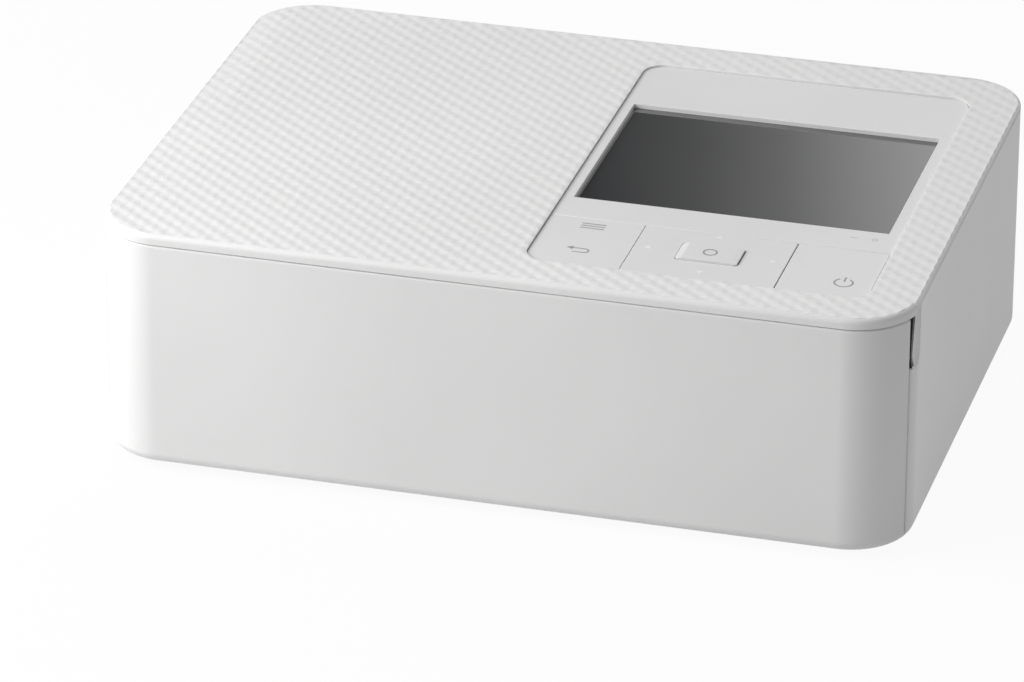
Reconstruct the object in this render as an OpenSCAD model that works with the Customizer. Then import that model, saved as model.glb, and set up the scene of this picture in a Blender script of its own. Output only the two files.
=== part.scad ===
// Compact dye-sublimation photo printer for postcard paper.
// Origin at the middle of the footprint on the ground, X to the right, front towards -Y, Z up.

/* [Body] */
// Width over the side walls
body_w = 182.2; // [176:0.1:200]
// Depth from the front cover to the rear wall
body_d = 133; // [128:0.1:150]
// Height from the ground to the top face
body_h = 57.6; // [56:0.1:66]
// Plan radius of the four vertical corners
corner_r = 14.4; // [13:0.1:16]
// Rounding of the lower edge
edge_r = 2.7; // [2.4:0.1:3.2]
// Wall thickness of the casing
wall = 2.2; // [1.8:0.1:2.4]
// Height of the casing's lower edge above the ground
foot_h = 1.8; // [1.2:0.1:2.6]
// Open seam between neighbouring casing pieces
seam = 0.25; // [0.15:0.05:0.35]
// Thickness of the floor of the base
floor_t = 2; // [1.6:0.1:2.4]

/* [Top cover] */
// Height of the lip over the front cover
lip_h = 2.2; // [1.8:0.1:3]
// Rounding of the lip's upper edge
lip_edge_r = 1.2; // [0.6:0.1:1.6]
// Thickness of the rim that lies on the side and rear walls
rim_t = 1; // [0.8:0.1:1.4]
// Rounding of that rim's upper edge
rim_edge_r = 0.8; // [0.4:0.1:0.8]
// Thickness of the top plate
top_t = 2.6; // [2.4:0.1:2.8]

/* [Front cover] */
// Distance the cover wraps back round the corners
cover_wrap = 9.6; // [8:0.1:11]
// Hinge pin's centre behind the front face
cover_pin_in = 4.3; // [4:0.1:4.6]
// Hinge pin's centre above the cover's lower edge
cover_pin_up = 2.9; // [2.7:0.1:3.2]
// Radius of the hinge pin
cover_pin_r = 0.9; // [0.7:0.05:1]
// Distance of each hinge arm's middle from the cover's middle
cover_arm_x = 72.5; // [66:0.1:74]
// Width of a hinge arm
cover_arm_w = 3.6; // [3:0.1:4]
// Height of the finger notch beside the cover's upper corner
notch_h = 12.5; // [10:0.1:15]
// Width of the finger notch at its top
notch_w = 2.6; // [2:0.1:3]

/* [Control panel] */
// Width of the smooth panel
panel_w = 76.3; // [74:0.1:80]
// Length of the smooth panel, front to back
panel_l = 109.3; // [106:0.1:112]
// Distance from the panel to the right side
panel_side = 11.2; // [9:0.1:13]
// Distance from the panel to the front face
panel_front = 11.5; // [11:0.1:13]
// Corner radius of the panel
panel_r = 5; // [3:0.1:7]
// Depth of the panel's face below the top face
panel_drop = 0.6; // [0.3:0.05:0.8]
// Width of the picture area
screen_w = 70.9; // [68:0.1:71]
// Length of the picture area, front to back
screen_l = 52.6; // [50:0.1:54]
// Distance from the panel's front edge to the picture area
screen_front = 34.4; // [33:0.1:36]
// Depth of the display window below the panel's face
screen_drop = 1.05; // [0.8:0.05:1.2]
// Thickness of the display window
window_t = 0.9; // [0.7:0.05:0.9]

/* [Keys] */
// Length of the row of keys, front to back
key_l = 24.3; // [22:0.1:25]
// Width of the left rocker key
menu_key_w = 21.5; // [18:0.1:23]
// Width of the four-way key
nav_key_w = 34.2; // [32:0.1:36]
// Thickness of a key plate
key_t = 1.5; // [1.3:0.05:1.6]
// Width of the middle key
ok_w = 13.7; // [12:0.1:15]
// Length of the middle key, front to back
ok_l = 8.2; // [7:0.1:9]
// Height of the middle key above its plate
ok_rise = 0.5; // [0.3:0.05:0.6]
// Width of the slopes at the ends of the middle key
ok_slope = 1.5; // [1:0.1:2]
// Gap between two keys
key_gap = 0.22; // [0.15:0.01:0.3]
// Travel of a push key
key_travel = 0.35; // [0.2:0.05:0.35]

/* [Paper path] */
// Width of the photo paper
paper_w = 100; // [98:0.5:102]
// Middle of the paper from the left side
paper_side = 77.1; // [76:0.1:79]
// Height of the paper's path between the rollers
path_z = 20.9; // [20.5:0.1:21.5]
// Height of the paper slot in the rear wall
rear_slot_h = 5.6; // [5:0.1:7]
// Width of the opening for the paper cassette
tray_w = 112; // [108:0.5:114]
// Height of the opening for the paper cassette
tray_h = 24; // [20:0.1:24.5]
// Height of that opening's lower edge above the floor of the base
tray_z = 3.2; // [2.5:0.1:4]

/* [Rollers] */
// Radius of the platen roller
platen_r = 6; // [5.5:0.1:6.5]
// Radius of the steel capstan roller
capstan_r = 3; // [2.8:0.1:3.2]
// Radius of the pinch roller
pinch_r = 4; // [3.5:0.1:4.2]
// Radius of the roller shafts
shaft_r = 2; // [1.8:0.05:2.2]
// Radius of the paper pick-up roller
pickup_r = 7.5; // [6.5:0.1:7.6]
// Width of each tyre of the pick-up roller
pickup_tyre_w = 12; // [8:0.1:14]
// Running clearance between a shaft and its bearing
run_gap = 0.05; // [0.03:0.01:0.08]
// Distance of the capstan roller from the rear face
capstan_in = 20.5; // [20:0.1:21]
// Distance from the platen roller to the capstan roller
platen_gap = 34; // [33.8:0.1:34.4]

/* [Gears] */
// Module of the roller gears
mod_roller = 0.8; // [0.8:0.01:0.82]
// Module of the motor gears
mod_motor = 0.6; // [0.58:0.01:0.62]
// Thickness of a gear
gear_t = 3.6; // [3:0.1:4]
// Play between meshing teeth
backlash = 0.12; // [0.08:0.01:0.16]

/* [Ribbon cassette] */
// Distance between the two spools
spool_span = 41.4; // [41:0.1:42]
// Height of the spools above the paper's path
spool_rise = 12.1; // [12:0.1:13]
// Distance of the full spool in front of the platen roller
spool_lead = 22.2; // [22:0.1:22.4]
// Outer radius of each half of the cassette
tube_r = 10.5; // [10:0.1:10.6]
// Wall thickness of the cassette
tube_t = 1.2; // [1:0.1:1.4]
// Length of the cassette
cassette_l = 118; // [116:0.5:120]
// Radius of the ribbon wound on the full spool
ribbon_full_r = 8.2; // [7:0.1:8.6]
// Radius of the ribbon wound on the other spool
ribbon_empty_r = 5; // [4.6:0.1:7]

/* [Print head] */
// Distance of the head's pivot from the rear wall
head_pivot_y = 16.5; // [16:0.1:17]
// Height of the head's pivot above the paper's path
head_pivot_rise = 25.1; // [25:0.1:25.3]
// Swing of the head from idle down to the ribbon
head_swing = 9.8; // [6:0.1:9.9]
// Width of the head, front to back
head_w = 12; // [10:0.1:12.4]

/* [Ribbon door] */
// Length of the door, front to back
door_l = 70; // [69:0.1:72]
// Height of the door
door_h = 32; // [30:0.1:33]
// Height of the door's lower edge above the ground
door_z = 15; // [14:0.1:16]
// Thickness of the door
door_t = 2; // [1.8:0.1:2.2]

/* [Hidden] */
$fn = 48;
eps = 0.01;

// casing
half_w = body_w / 2;
half_d = body_d / 2;
corner_x = half_w - corner_r;
corner_y = half_d - corner_r;
flange_u = edge_r + 2;
flange_t = 1.8;
base_z = foot_h + floor_t;
lip_z = body_h - lip_h;
rim_z = body_h - rim_t;
seam_y = -half_d + cover_wrap;
lip_y = seam_y + notch_w - 0.3;
wall_gap = 0.3;
plate_z = body_h - top_t;
bulkhead_y = seam_y + 0.6;
bulkhead_t = 2;

// front cover hinge
cover_y = -half_d + cover_pin_in;
cover_z = foot_h + cover_pin_up;
arm_r = 1.8;
lug_w = 3;
pin_x1 = cover_arm_x + cover_arm_w / 2 + 0.3 + lug_w;
catch_x = cover_arm_x - 10.5;
cover_top = lip_z - max(seam, pow(cover_wrap - cover_pin_in, 2) / 2 / (lip_z - cover_z) + 0.05);

// control panel
panel_x1 = half_w - panel_side;
panel_x0 = panel_x1 - panel_w;
panel_y0 = -half_d + panel_front;
panel_y1 = panel_y0 + panel_l;
panel_z = body_h - panel_drop;
key_y1 = panel_y0 + key_l;
key_mid_y = (panel_y0 + key_y1) / 2;
key_z = panel_z - key_t;
nav_x0 = panel_x0 + menu_key_w;
nav_x1 = nav_x0 + nav_key_w;
nav_x = (nav_x0 + nav_x1) / 2 + 0.02;
nav_y = key_mid_y + 1.4;
screen_x0 = panel_x0 + (panel_w - screen_w) / 2 - 0.15;
screen_y0 = panel_y0 + screen_front;
window_z = panel_z - screen_drop - window_t;
ledge_t = 1.2;
ledge_w = 1;
ledge_z = plate_z - ledge_t;
board_t = 1.2;
mat_t = 0.7;
dome_z = key_z - key_travel - 0.1;

// engine
paper_mid = paper_side - half_w;
frame_t = 1.5;
frame_left_x = paper_mid - cassette_l / 2 - 7;
frame_right_x = frame_left_x + cassette_l + 9.8;
gear_x = frame_right_x + frame_t + 1;
gear2_x = gear_x + gear_t + 0.8;
bracket_x = gear2_x + gear_t + 0.6;
bracket_t = 1.2;
rear_in = half_d - wall;
capstan_y = half_d - capstan_in;
platen_y = capstan_y - platen_gap;
capstan_pos = [capstan_y, path_z - capstan_r];
pinch_pos = [capstan_y, path_z + 0.2 + pinch_r];
platen_pos = [platen_y, path_z - platen_r];
supply_pos = [platen_y - spool_lead, path_z + spool_rise];
takeup_pos = supply_pos + [spool_span, 0];
head_pos = [half_d - head_pivot_y, path_z + head_pivot_rise];
frame_y0 = supply_pos[0] - tube_r - 2.3;
frame_y1 = rear_in - 2.8;
pickup_pivot = [bulkhead_y + 6.3, path_z + 16.7];
pickup_pos = [supply_pos[0] - tube_r - 2.8 - pickup_r, path_z + 10.1];
screw_out = flange_u + seam + 3.3;

// numbers of teeth
capstan_n = 30;
small_n = 14;
large_n = 30;
pinion_n = 12;
spindle_n = 22;
sector_n = 40;
lift_n = 14;

function at(angle, dist) = dist * [cos(angle), sin(angle)];
function gear_dist(n1, n2, m) = m * (n1 + n2) / 2;
// Angle of a tooth on the second gear, from the first gear's tooth angle and the line of centres
function mesh(phase, n1, n2, line) = line + 180 + (line - phase) * n1 / n2 + 180 / n2;
function line_angle(a, b) = atan2(b[1] - a[1], b[0] - a[0]);

// Directions from one gear's centre to the next
reduction_line = 75;
motor_line = -90;
ribbon_line = 122;
lift_line = -65;
reduction_pos = capstan_pos + at(reduction_line, gear_dist(capstan_n, small_n, mod_roller));
motor_pos = reduction_pos + at(motor_line, gear_dist(large_n, pinion_n, mod_motor));
ribbon_motor_pos = takeup_pos + at(ribbon_line, gear_dist(spindle_n, pinion_n, mod_motor));
lift_pos = head_pos + at(lift_line, gear_dist(sector_n, lift_n, mod_motor));

capstan_phase = 0;
small_phase = mesh(capstan_phase, capstan_n, small_n, reduction_line);
large_phase = 0;
pinion_phase = mesh(large_phase, large_n, pinion_n, motor_line);
spindle_phase = 0;
ribbon_phase = mesh(spindle_phase, spindle_n, pinion_n, ribbon_line);
sector_phase = lift_line;
lift_phase = mesh(sector_phase, sector_n, lift_n, lift_line);

// ---------- shapes used by several pieces ----------

// Rectangle with round corners, centred
module round_rect(w, d, r) {
  union() {
    square([w - 2 * r, d], center = true);
    square([w, d - 2 * r], center = true);
    for (sx = [-1, 1], sy = [-1, 1]) translate([sx * (w / 2 - r), sy * (d / 2 - r)]) circle(r);
  }
}

// Plan outline of the body, drawn in by u
module body_outline(u) {
  round_rect(body_w - 2 * u, body_d - 2 * u, corner_r - u);
}

// Outline of the smooth panel, drawn in by u
module panel_outline(u) {
  translate([(panel_x0 + panel_x1) / 2, (panel_y0 + panel_y1) / 2])
    round_rect(panel_w - 2 * u, panel_l - 2 * u, panel_r - u);
}

// A wall section swept along the front face: section X is the depth behind the face
module along_front(x0, x1) {
  translate([x0, -half_d, 0]) rotate([90, 0, 90]) linear_extrude(x1 - x0) children();
}

// The same section swept along the right side
module along_right(y0, y1) {
  translate([half_w, y1, 0]) rotate([90, 0, 0]) linear_extrude(y1 - y0) mirror([1, 0]) children();
}

// The same section swept round a right-hand corner, -1 for the front one and 1 for the rear one
module round_corner(side) {
  translate([corner_x, side * corner_y, 0]) rotate([0, 0, side > 0 ? 0 : -90])
    rotate_extrude(angle = 90) translate([corner_r, 0]) mirror([1, 0]) children();
}

// Keeps what lies between two depths
module between(y0, y1) {
  intersection() {
    children();
    translate([-body_w, y0, -1]) cube([2 * body_w, y1 - y0, body_h + 2]);
  }
}

module both_sides() {
  children();
  mirror([1, 0, 0]) children();
}

// A flat shape drawn as [y, z] and thickened along X
module across(x, t) {
  translate([x, 0, 0]) rotate([90, 0, 90]) linear_extrude(t) children();
}

module disc_at(pos, r) {
  translate(pos) circle(r);
}

module rod(pos, r, x0, x1) {
  across(x0, x1 - x0) disc_at(pos, r);
}

function involute(a) = tan(a) * 180 / PI - a;
// Half the angle of a tooth at radius r
function half_tooth(n, m, r) =
  let (rb = n * m / 2 * cos(20))
  90 / n - backlash / (n * m) * 90 / PI + involute(20) - involute(acos(min(1, rb / r)));
function tooth_side(n, m) =
  let (rb = n * m / 2 * cos(20), rf = m * (n / 2 - 1.15), ra = m * (n / 2 + 0.8), r0 = max(rb, rf))
  [[rf, half_tooth(n, m, r0)], for (k = [0:2]) let (r = r0 + (ra - r0) * k / 2) [r, half_tooth(n, m, r)]];
function gear_points(n, m, phase, first, last) = [for (i = [first:last])
  let (side = tooth_side(n, m), a = phase + i * 360 / n)
  each concat([for (p = side) at(a - p[1], p[0])], [for (k = [3:-1:0]) at(a + side[k][1], side[k][0])])];

// Spur gear with involute teeth, drawn as [y, z]; one tooth points along the phase angle
module gear(pos, n, m, phase) {
  translate(pos) polygon(gear_points(n, m, phase, 0, n - 1));
}

// Holes that lighten a gear's web
module web_holes(pos, dist, r, count) {
  for (i = [0:count - 1]) translate(pos + at(i * 360 / count, dist)) circle(r);
}

// ---------- casing ----------

// Rounded lower edge with its inward flange, as depth and height
module edge_section() {
  union() {
    intersection() {
      translate([edge_r, foot_h + edge_r]) circle(edge_r);
      translate([0, foot_h]) square(edge_r);
    }
    translate([edge_r, foot_h]) square([flange_u - edge_r, flange_t]);
  }
}

module wall_section(top) {
  union() {
    edge_section();
    translate([0, foot_h + edge_r]) square([wall, top - foot_h - edge_r]);
  }
}

screw_x = half_w - screw_out;
screw_y = half_d - screw_out;
screw_spots = [[screw_x, half_d - 36.5], [screw_x, 24.5 - half_d], [-screw_x, half_d - 12.5],
  [-screw_x, 20.5 - half_d], [paper_mid + 54, screw_y], [19.6 - half_w, screw_y]];
boss_r = 2.7;
screw_r = 1.1;
screw_head_r = 2.1;
screw_head_t = 0.7;
foot_spots = [for (x = [21.1 - half_w, half_w - 21.1], y = [24.5 - half_d, half_d - 18.5]) [x, y]];
foot_r = 6;
foot_pocket = 1;

module base_case() {
  rim_z0 = foot_h + flange_t + 0.1;
  rail_t = 1.6;
  color("gainsboro") difference() {
    union() {
      // floor and the rim that lies over the side case's flange
      intersection() {
        union() {
          translate([0, 0, foot_h]) linear_extrude(floor_t) body_outline(flange_u + seam);
          translate([0, 0, rim_z0]) linear_extrude(base_z + 1.2 - rim_z0) difference() {
            body_outline(edge_r + wall_gap);
            body_outline(flange_u + 2.3);
          }
        }
        translate([-half_w, seam_y + 0.5, 0]) cube([body_w, body_d, body_h]);
      }
      // hinge arms of the front cover
      for (s = [-1, 1]) across(s * cover_arm_x - cover_arm_w / 2, cover_arm_w) union() {
        disc_at([cover_y, cover_z], arm_r);
        translate([cover_y, cover_z - arm_r]) square([bulkhead_y + bulkhead_t + 2 - cover_y, 2 * arm_r]);
      }
      // rails beside the paper cassette
      for (x = [paper_mid - tray_w / 2 - rail_t - 0.2, paper_mid + tray_w / 2 + 0.2])
        translate([x, bulkhead_y + bulkhead_t, base_z - eps])
          cube([rail_t, frame_y0 - 1 - bulkhead_y - bulkhead_t, path_z - 2 - base_z]);
      // bosses under the main board
      for (x = [board_x0 + 4, board_x1 - 4], y = [board_y0 + 5, board_y1 - 5])
        translate([x, y, base_z - eps]) cylinder(h = board_z - base_z + eps, r = 2.4);
      // ribs across the floor under the engine
      for (y = [platen_y - 16, platen_y + 18]) translate([paper_mid - paper_w / 2, y, base_z - eps])
        cube([paper_w, 1.4, 2]);
    }
    for (p = screw_spots) {
      translate([p[0], p[1], foot_h - 1]) cylinder(h = floor_t + 4, r = screw_r + 0.2);
      translate([p[0], p[1], foot_h - 1]) cylinder(h = 1.8, r = screw_head_r + 0.3);
    }
    for (p = foot_spots) translate([p[0], p[1], foot_h - 1])
      cylinder(h = 1 + foot_pocket, r = foot_r + 0.1);
    for (s = [-1, 1]) rod([cover_y, cover_z], cover_pin_r + 0.02, s * cover_arm_x - 5, s * cover_arm_x + 5);
    // heat vents under the main board
    for (i = [0:6]) translate([board_x0 + 5 + i * 3.6, board_y0 + 22.3, foot_h - 1])
      cube([1.6, 22, floor_t + 2]);
  }
}

rear_slot_z = path_z - 2.4;
jack_x = half_w - 23.1;
jack_z = body_h - 12.6;
jack_hole_r = 3.1;
usb_y = 26.1 - half_d;
usb_z = 20;
card_y = usb_y;
card_z = 31.5;
usb_w = 8.94;
usb_h = 3.2;
card_w = 24.6;
card_h = 2.8;
door_y0 = takeup_pos[0] + tube_r + 4 - door_l;
door_z1 = door_z + door_h;
door_pin_in = door_t;
door_x = -half_w + door_pin_in;
door_pin_z = door_z + door_pin_in;
door_pin_r = 0.7;

module side_case() {
  color("white") difference() {
    union() {
      both_sides() {
        between(seam_y + seam / 2, 0) round_corner(-1) wall_section(rim_z - 0.1);
        along_right(-corner_y, corner_y) wall_section(rim_z - 0.1);
        round_corner(1) wall_section(rim_z - 0.1);
      }
      mirror([0, 1, 0]) along_front(-corner_x, corner_x) wall_section(rim_z - 0.1);
      // screw bosses on the inner face
      for (p = screw_spots) {
        side = abs(p[0]) > half_w - screw_out - 1;
        h = 8;
        z0 = base_z + 1.3;
        translate([p[0], p[1], z0]) cylinder(h = h, r = boss_r);
        if (side)
          translate([p[0] > 0 ? p[0] : -half_w + wall / 2, p[1] - 1, z0])
            cube([half_w - wall / 2 - abs(p[0]), 2, h]);
        else
          translate([p[0] - 1, p[1], z0]) cube([2, half_d - wall / 2 - p[1], h]);
      }
      // frame round the ribbon door
      difference() {
        translate([-half_w + wall - eps, door_y0 - 2.5, door_z - 2.2]) cube([1, door_l + 5, door_h + 4.7]);
        translate([-half_w + wall - 1, door_y0 - seam, door_z - seam])
          cube([4, door_l + 2 * seam, door_h + 2 * seam]);
      }
    }
    for (p = screw_spots) translate([p[0], p[1], base_z]) cylinder(h = 8, r = screw_r + 0.02);
    // finger notches beside the front cover's upper corners
    both_sides() {
      translate([half_w - 6, 0, 0]) rotate([90, 0, 90]) linear_extrude(8)
        polygon([[seam_y - 1, lip_z + 3], [seam_y + notch_w, lip_z + 3], [seam_y + notch_w, lip_z - 1],
          [seam_y + notch_w * 0.5, lip_z - notch_h + 1], [seam_y + notch_w * 0.35, lip_z - notch_h],
          [seam_y - 1, lip_z - notch_h]]);
      // shallow hollow for the fingertip
      translate([half_w + 5, seam_y + 1.5, lip_z - notch_h + 2.5]) {
        cylinder(h = 20, r = 6.2);
        sphere(6.2);
      }
      translate([door_x, door_y0 - 2.3, door_pin_z]) rotate([-90, 0, 0])
        cylinder(h = door_l + 4.6, r = door_pin_r + 0.02);
    }
    // paper slot in the rear wall
    translate([paper_mid, half_d - 5, rear_slot_z + rear_slot_h / 2]) rotate([-90, 0, 0]) linear_extrude(6)
      round_rect(paper_w + 4, rear_slot_h, 2);
    // socket for the power plug
    translate([jack_x, half_d - 5, jack_z]) rotate([-90, 0, 0]) cylinder(h = 6, r = jack_hole_r);
    // vents
    for (i = [0:9]) translate([jack_x - 68 + i * 3.4, half_d - 5, body_h - 19.6]) cube([1.6, 6, 12]);
    // ribbon door and its bevelled edge
    translate([-half_w - 1, door_y0 - seam, door_z - seam])
      cube([wall + 1 + 2 * eps, door_l + 2 * seam, door_h + 2 * seam]);
    // ports
    translate([-half_w - 1, usb_y, usb_z]) rotate([90, 0, 90]) linear_extrude(6)
      round_rect(usb_w + 0.3, usb_h + 0.3, usb_h / 2);
    translate([-half_w - 1, card_y, card_z]) rotate([90, 0, 90]) linear_extrude(6)
      round_rect(card_w + 0.3, card_h, 0.6);
  }
}

module rim_section(z0, r) {
  difference() {
    translate([0, z0]) square([3.6, body_h - z0]);
    difference() {
      translate([-1, body_h - r]) square([1 + r, 1 + r]);
      translate([r, body_h - r]) circle(r);
    }
  }
}

module top_cover() {
  inset = wall + wall_gap;
  color("white") difference() {
    union() {
      both_sides() {
        between(-body_d, lip_y) round_corner(-1) rim_section(lip_z, lip_edge_r);
        between(lip_y, 0) round_corner(-1) rim_section(rim_z, rim_edge_r);
        along_right(-corner_y, corner_y) rim_section(rim_z, rim_edge_r);
        round_corner(1) rim_section(rim_z, rim_edge_r);
      }
      along_front(-corner_x, corner_x) rim_section(lip_z, lip_edge_r);
      mirror([0, 1, 0]) along_front(-corner_x, corner_x) rim_section(rim_z, rim_edge_r);
      translate([0, 0, plate_z]) linear_extrude(top_t) body_outline(3.5);
      translate([0, 0, plate_z]) linear_extrude(rim_z - plate_z) difference() {
        body_outline(inset);
        body_outline(3.6);
        translate([-half_w, -half_d - 1]) square([body_w, cover_wrap + notch_w + 1.2]);
      }
      // locating rib inside the walls
      translate([0, 0, plate_z - 1.6]) linear_extrude(1.8) difference() {
        body_outline(inset);
        body_outline(inset + 1.4);
        translate([-half_w, -half_d - 1]) square([body_w, bulkhead_y + bulkhead_t + half_d + 1.3]);
      }
      // ledge that carries the panel
      translate([0, 0, ledge_z]) linear_extrude(ledge_t + 0.5) panel_outline(-1.4);
      // stiffening ribs under the left half
      for (i = [0:3]) translate([7.1 - half_w, 26.5 - half_d + i * 24, plate_z - 1.4])
        cube([panel_x0 + half_w - 14.7, 1.2, 1.5]);
      for (i = [0:2]) translate([21.1 - half_w + i * 24, 22.5 - half_d, plate_z - 1.4])
        cube([1.2, body_d - 41, 1.5]);
    }
    translate([0, 0, plate_z]) linear_extrude(top_t + 1) panel_outline(0);
    translate([0, 0, ledge_z - 1]) linear_extrude(ledge_t + 2) panel_outline(ledge_w);
    // room below the four-way key's front corners
    translate([nav_x0, panel_y0, plate_z - 0.15]) cube([nav_x1 - nav_x0, ledge_w + 0.1, 0.3]);
  }
}

module front_panel() {
  side_x = half_w - wall - 1.6;
  color("lightgray") difference() {
    union() {
      translate([-side_x, bulkhead_y, base_z + 1.3]) cube([2 * side_x, bulkhead_t, ledge_z - base_z - 1.6]);
      translate([6 - side_x, bulkhead_y, base_z + 0.1]) cube([2 * side_x - 12, bulkhead_t, 2]);
    }
    // room for the arms of the cover's hinge
    for (s = [-1, 1]) translate([s * cover_arm_x - cover_arm_w / 2 - 0.3, bulkhead_y - 1, base_z - 1])
      cube([cover_arm_w + 0.6, bulkhead_t + 2, cover_z + arm_r + 1.3 - base_z]);
    // opening for the paper cassette
    translate([paper_mid - tray_w / 2, bulkhead_y - 1, base_z + tray_z])
      cube([tray_w, bulkhead_t + 2, tray_h]);
    // slots for the catches of the cover
    for (s = [-1, 1]) translate([s * catch_x - 3, bulkhead_y - 1, lip_z - 9]) cube([6, bulkhead_t + 2, 3]);
  }
  // ears for the pick-up arm
  color("lightgray") for (x = [paper_mid - 27, paper_mid + 24]) difference() {
    across(x, 3) union() {
      disc_at(pickup_pivot, 3.4);
      translate([bulkhead_y + bulkhead_t - eps, pickup_pivot[1] - 3.4])
        square([pickup_pivot[0] - bulkhead_y - bulkhead_t, 6.8]);
    }
    rod(pickup_pivot, shaft_r + run_gap, x - 1, x + 4);
  }
}

module front_cover() {
  top = cover_top;
  catch_z = lip_z - 8;
  color("white") difference() {
    union() {
      both_sides() between(-body_d, seam_y - seam / 2) round_corner(-1) wall_section(top);
      along_front(-corner_x, corner_x) wall_section(top);
      // ribs across the inner face
      for (x = [-48, -16, 16, 48]) translate([x - 0.6, -half_d + wall - eps, foot_h + 6])
        cube([1.2, 1.4, top - foot_h - 8]);
      translate([-corner_x, -half_d + wall - eps, top - 3]) cube([2 * corner_x, 1.4, 1.4]);
      // catches
      for (s = [-1, 1]) translate([s * catch_x - 2.4, 0, 0]) rotate([90, 0, 90]) linear_extrude(4.8)
        polygon([[-half_d + wall - 0.1, catch_z - 0.6], [bulkhead_y + 0.6, catch_z - 0.6],
          [bulkhead_y + 1.8, catch_z + 0.4],
          [bulkhead_y + 0.6, catch_z + 1.2], [bulkhead_y - 0.6, catch_z + 0.8],
            [-half_d + wall - 0.1, catch_z + 0.8]]);
      // hinge lugs outside the arms
      for (s = [-1, 1]) translate([s * (cover_arm_x + cover_arm_w / 2 + 0.3 + lug_w / 2), 0, 0])
        across(-lug_w / 2, lug_w)
        union() {
          disc_at([cover_y, cover_z], arm_r + 0.2);
          translate([-half_d + 1.2, cover_z - arm_r - 0.2]) square([cover_pin_in - 1.2, 2 * arm_r + 0.4]);
        }
    }
    for (s = [-1, 1]) {
      // running bores of the lugs
      rod([cover_y, cover_z], cover_pin_r + run_gap, s > 0 ? cover_arm_x : -pin_x1 - 0.1,
        s > 0 ? pin_x1 + 0.1 : -cover_arm_x);
      // room for the arms
      across(s * cover_arm_x - cover_arm_w / 2 - 0.3, cover_arm_w + 0.6)
        translate([-half_d + wall, foot_h - 1]) square([8, cover_z + arm_r + 0.6 - foot_h + 1]);
    }
    // the lower rear corners turn inside the side case
    across(-half_w, body_w) difference() {
      translate([cover_y, foot_h - 1]) square([8, cover_z - foot_h + 1]);
      disc_at([cover_y, cover_z], cover_wrap - cover_pin_in - 0.15);
    }
  }
}

module hinge_pins() {
  color("silver") for (s = [-1, 1]) {
    inner = cover_arm_x - cover_arm_w / 2;
    rod([cover_y, cover_z], cover_pin_r, s > 0 ? inner : -pin_x1, s > 0 ? pin_x1 : -inner);
  }
}

module ink_door() {
  lug_y = [door_y0, door_y0 + door_l - 4];
  color("white") difference() {
    union() {
      // plate whose lower edge is rounded about the hinge
      translate([-half_w, door_y0 + door_l, 0]) rotate([90, 0, 0]) linear_extrude(door_l) union() {
        translate([0, door_pin_z]) square([door_t, door_z1 - door_pin_z]);
        intersection() {
          translate([door_pin_in, door_pin_z]) circle(door_pin_in);
          translate([0, door_z]) square([door_t, door_pin_in]);
        }
      }
      for (y = lug_y) translate([door_x, y + 4, door_pin_z]) rotate([90, 0, 0]) cylinder(h = 4, r = 1.6);
      // finger lip and catch at the upper edge
      translate([door_x - eps, door_y0 + door_l / 2 - 6, door_z1 - 2.4]) cube([2.2, 12, 1.2]);
      for (y = [door_y0 + 12, door_y0 + door_l - 13.2]) translate([door_x - eps, y, door_pin_z + 4])
        cube([1, 1.2, 22]);
    }
    for (y = lug_y) translate([door_x, y + 5, door_pin_z]) rotate([90, 0, 0])
      cylinder(h = 6, r = door_pin_r + run_gap);
    // thumb hollow in the outer face
    translate([-half_w - 8.4, door_y0 + door_l / 2, door_z1 - 5]) sphere(9, $fn = 64);
  }
}

module ink_door_pins() {
  color("silver") for (y = [door_y0 - 2.2, door_y0 + door_l - 4]) translate([door_x, y, door_pin_z])
    rotate([-90, 0, 0]) cylinder(h = 6.2, r = door_pin_r);
}

lever_pos = [takeup_pos[0] + tube_r + 3.6, takeup_pos[1] - 3];
module eject_lever() {
  color("orange") difference() {
    across(frame_left_x - 3, 1.8) union() {
      disc_at(lever_pos, 3);
      translate([lever_pos[0] - 1.6, lever_pos[1] - 13]) square([3.2, 13]);
      translate([lever_pos[0] - 5.6, lever_pos[1] - 1.5]) square([5.6, 3]);
      translate([lever_pos[0] - 3.2, lever_pos[1] - 15]) square([6.4, 3]);
    }
    rod(lever_pos, 1.2 + run_gap, frame_left_x - 5, frame_left_x);
  }
}

module rubber_feet() {
  color("dimgray") for (p = foot_spots) translate([p[0], p[1], 0])
    cylinder(h = foot_h + foot_pocket, r = foot_r);
}

module case_screws() {
  color("silver") for (p = screw_spots) translate([p[0], p[1], foot_h + 0.8]) difference() {
    union() {
      cylinder(h = base_z + 6.5 - foot_h - 0.8, r = screw_r);
      translate([0, 0, -screw_head_t]) cylinder(h = screw_head_t, r = screw_head_r);
    }
    for (a = [0, 90]) rotate([0, 0, a]) translate([-1.3, -0.25, -1]) cube([2.6, 0.5, 0.7]);
  }
}

// ---------- control panel ----------

module panel_bezel() {
  color("whitesmoke") difference() {
    translate([0, 0, plate_z]) linear_extrude(panel_z - plate_z) intersection() {
      panel_outline(0.08);
      translate([panel_x0, key_y1 + 0.08]) square([panel_w, panel_l]);
    }
    translate([screen_x0, screen_y0, plate_z - 1]) cube([screen_w, screen_l, 6]);
    translate([screen_x0 - 0.9, screen_y0 - 0.9, plate_z - 1])
      cube([screen_w + 1.8, screen_l + 1.8, panel_z - screen_drop - plate_z + 1]);
  }
}

module display_window() {
  color("dimgray") translate([screen_x0 - 0.8, screen_y0 - 0.8, window_z])
    cube([screen_w + 1.6, screen_l + 1.6, window_t - 0.02]);
}

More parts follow.
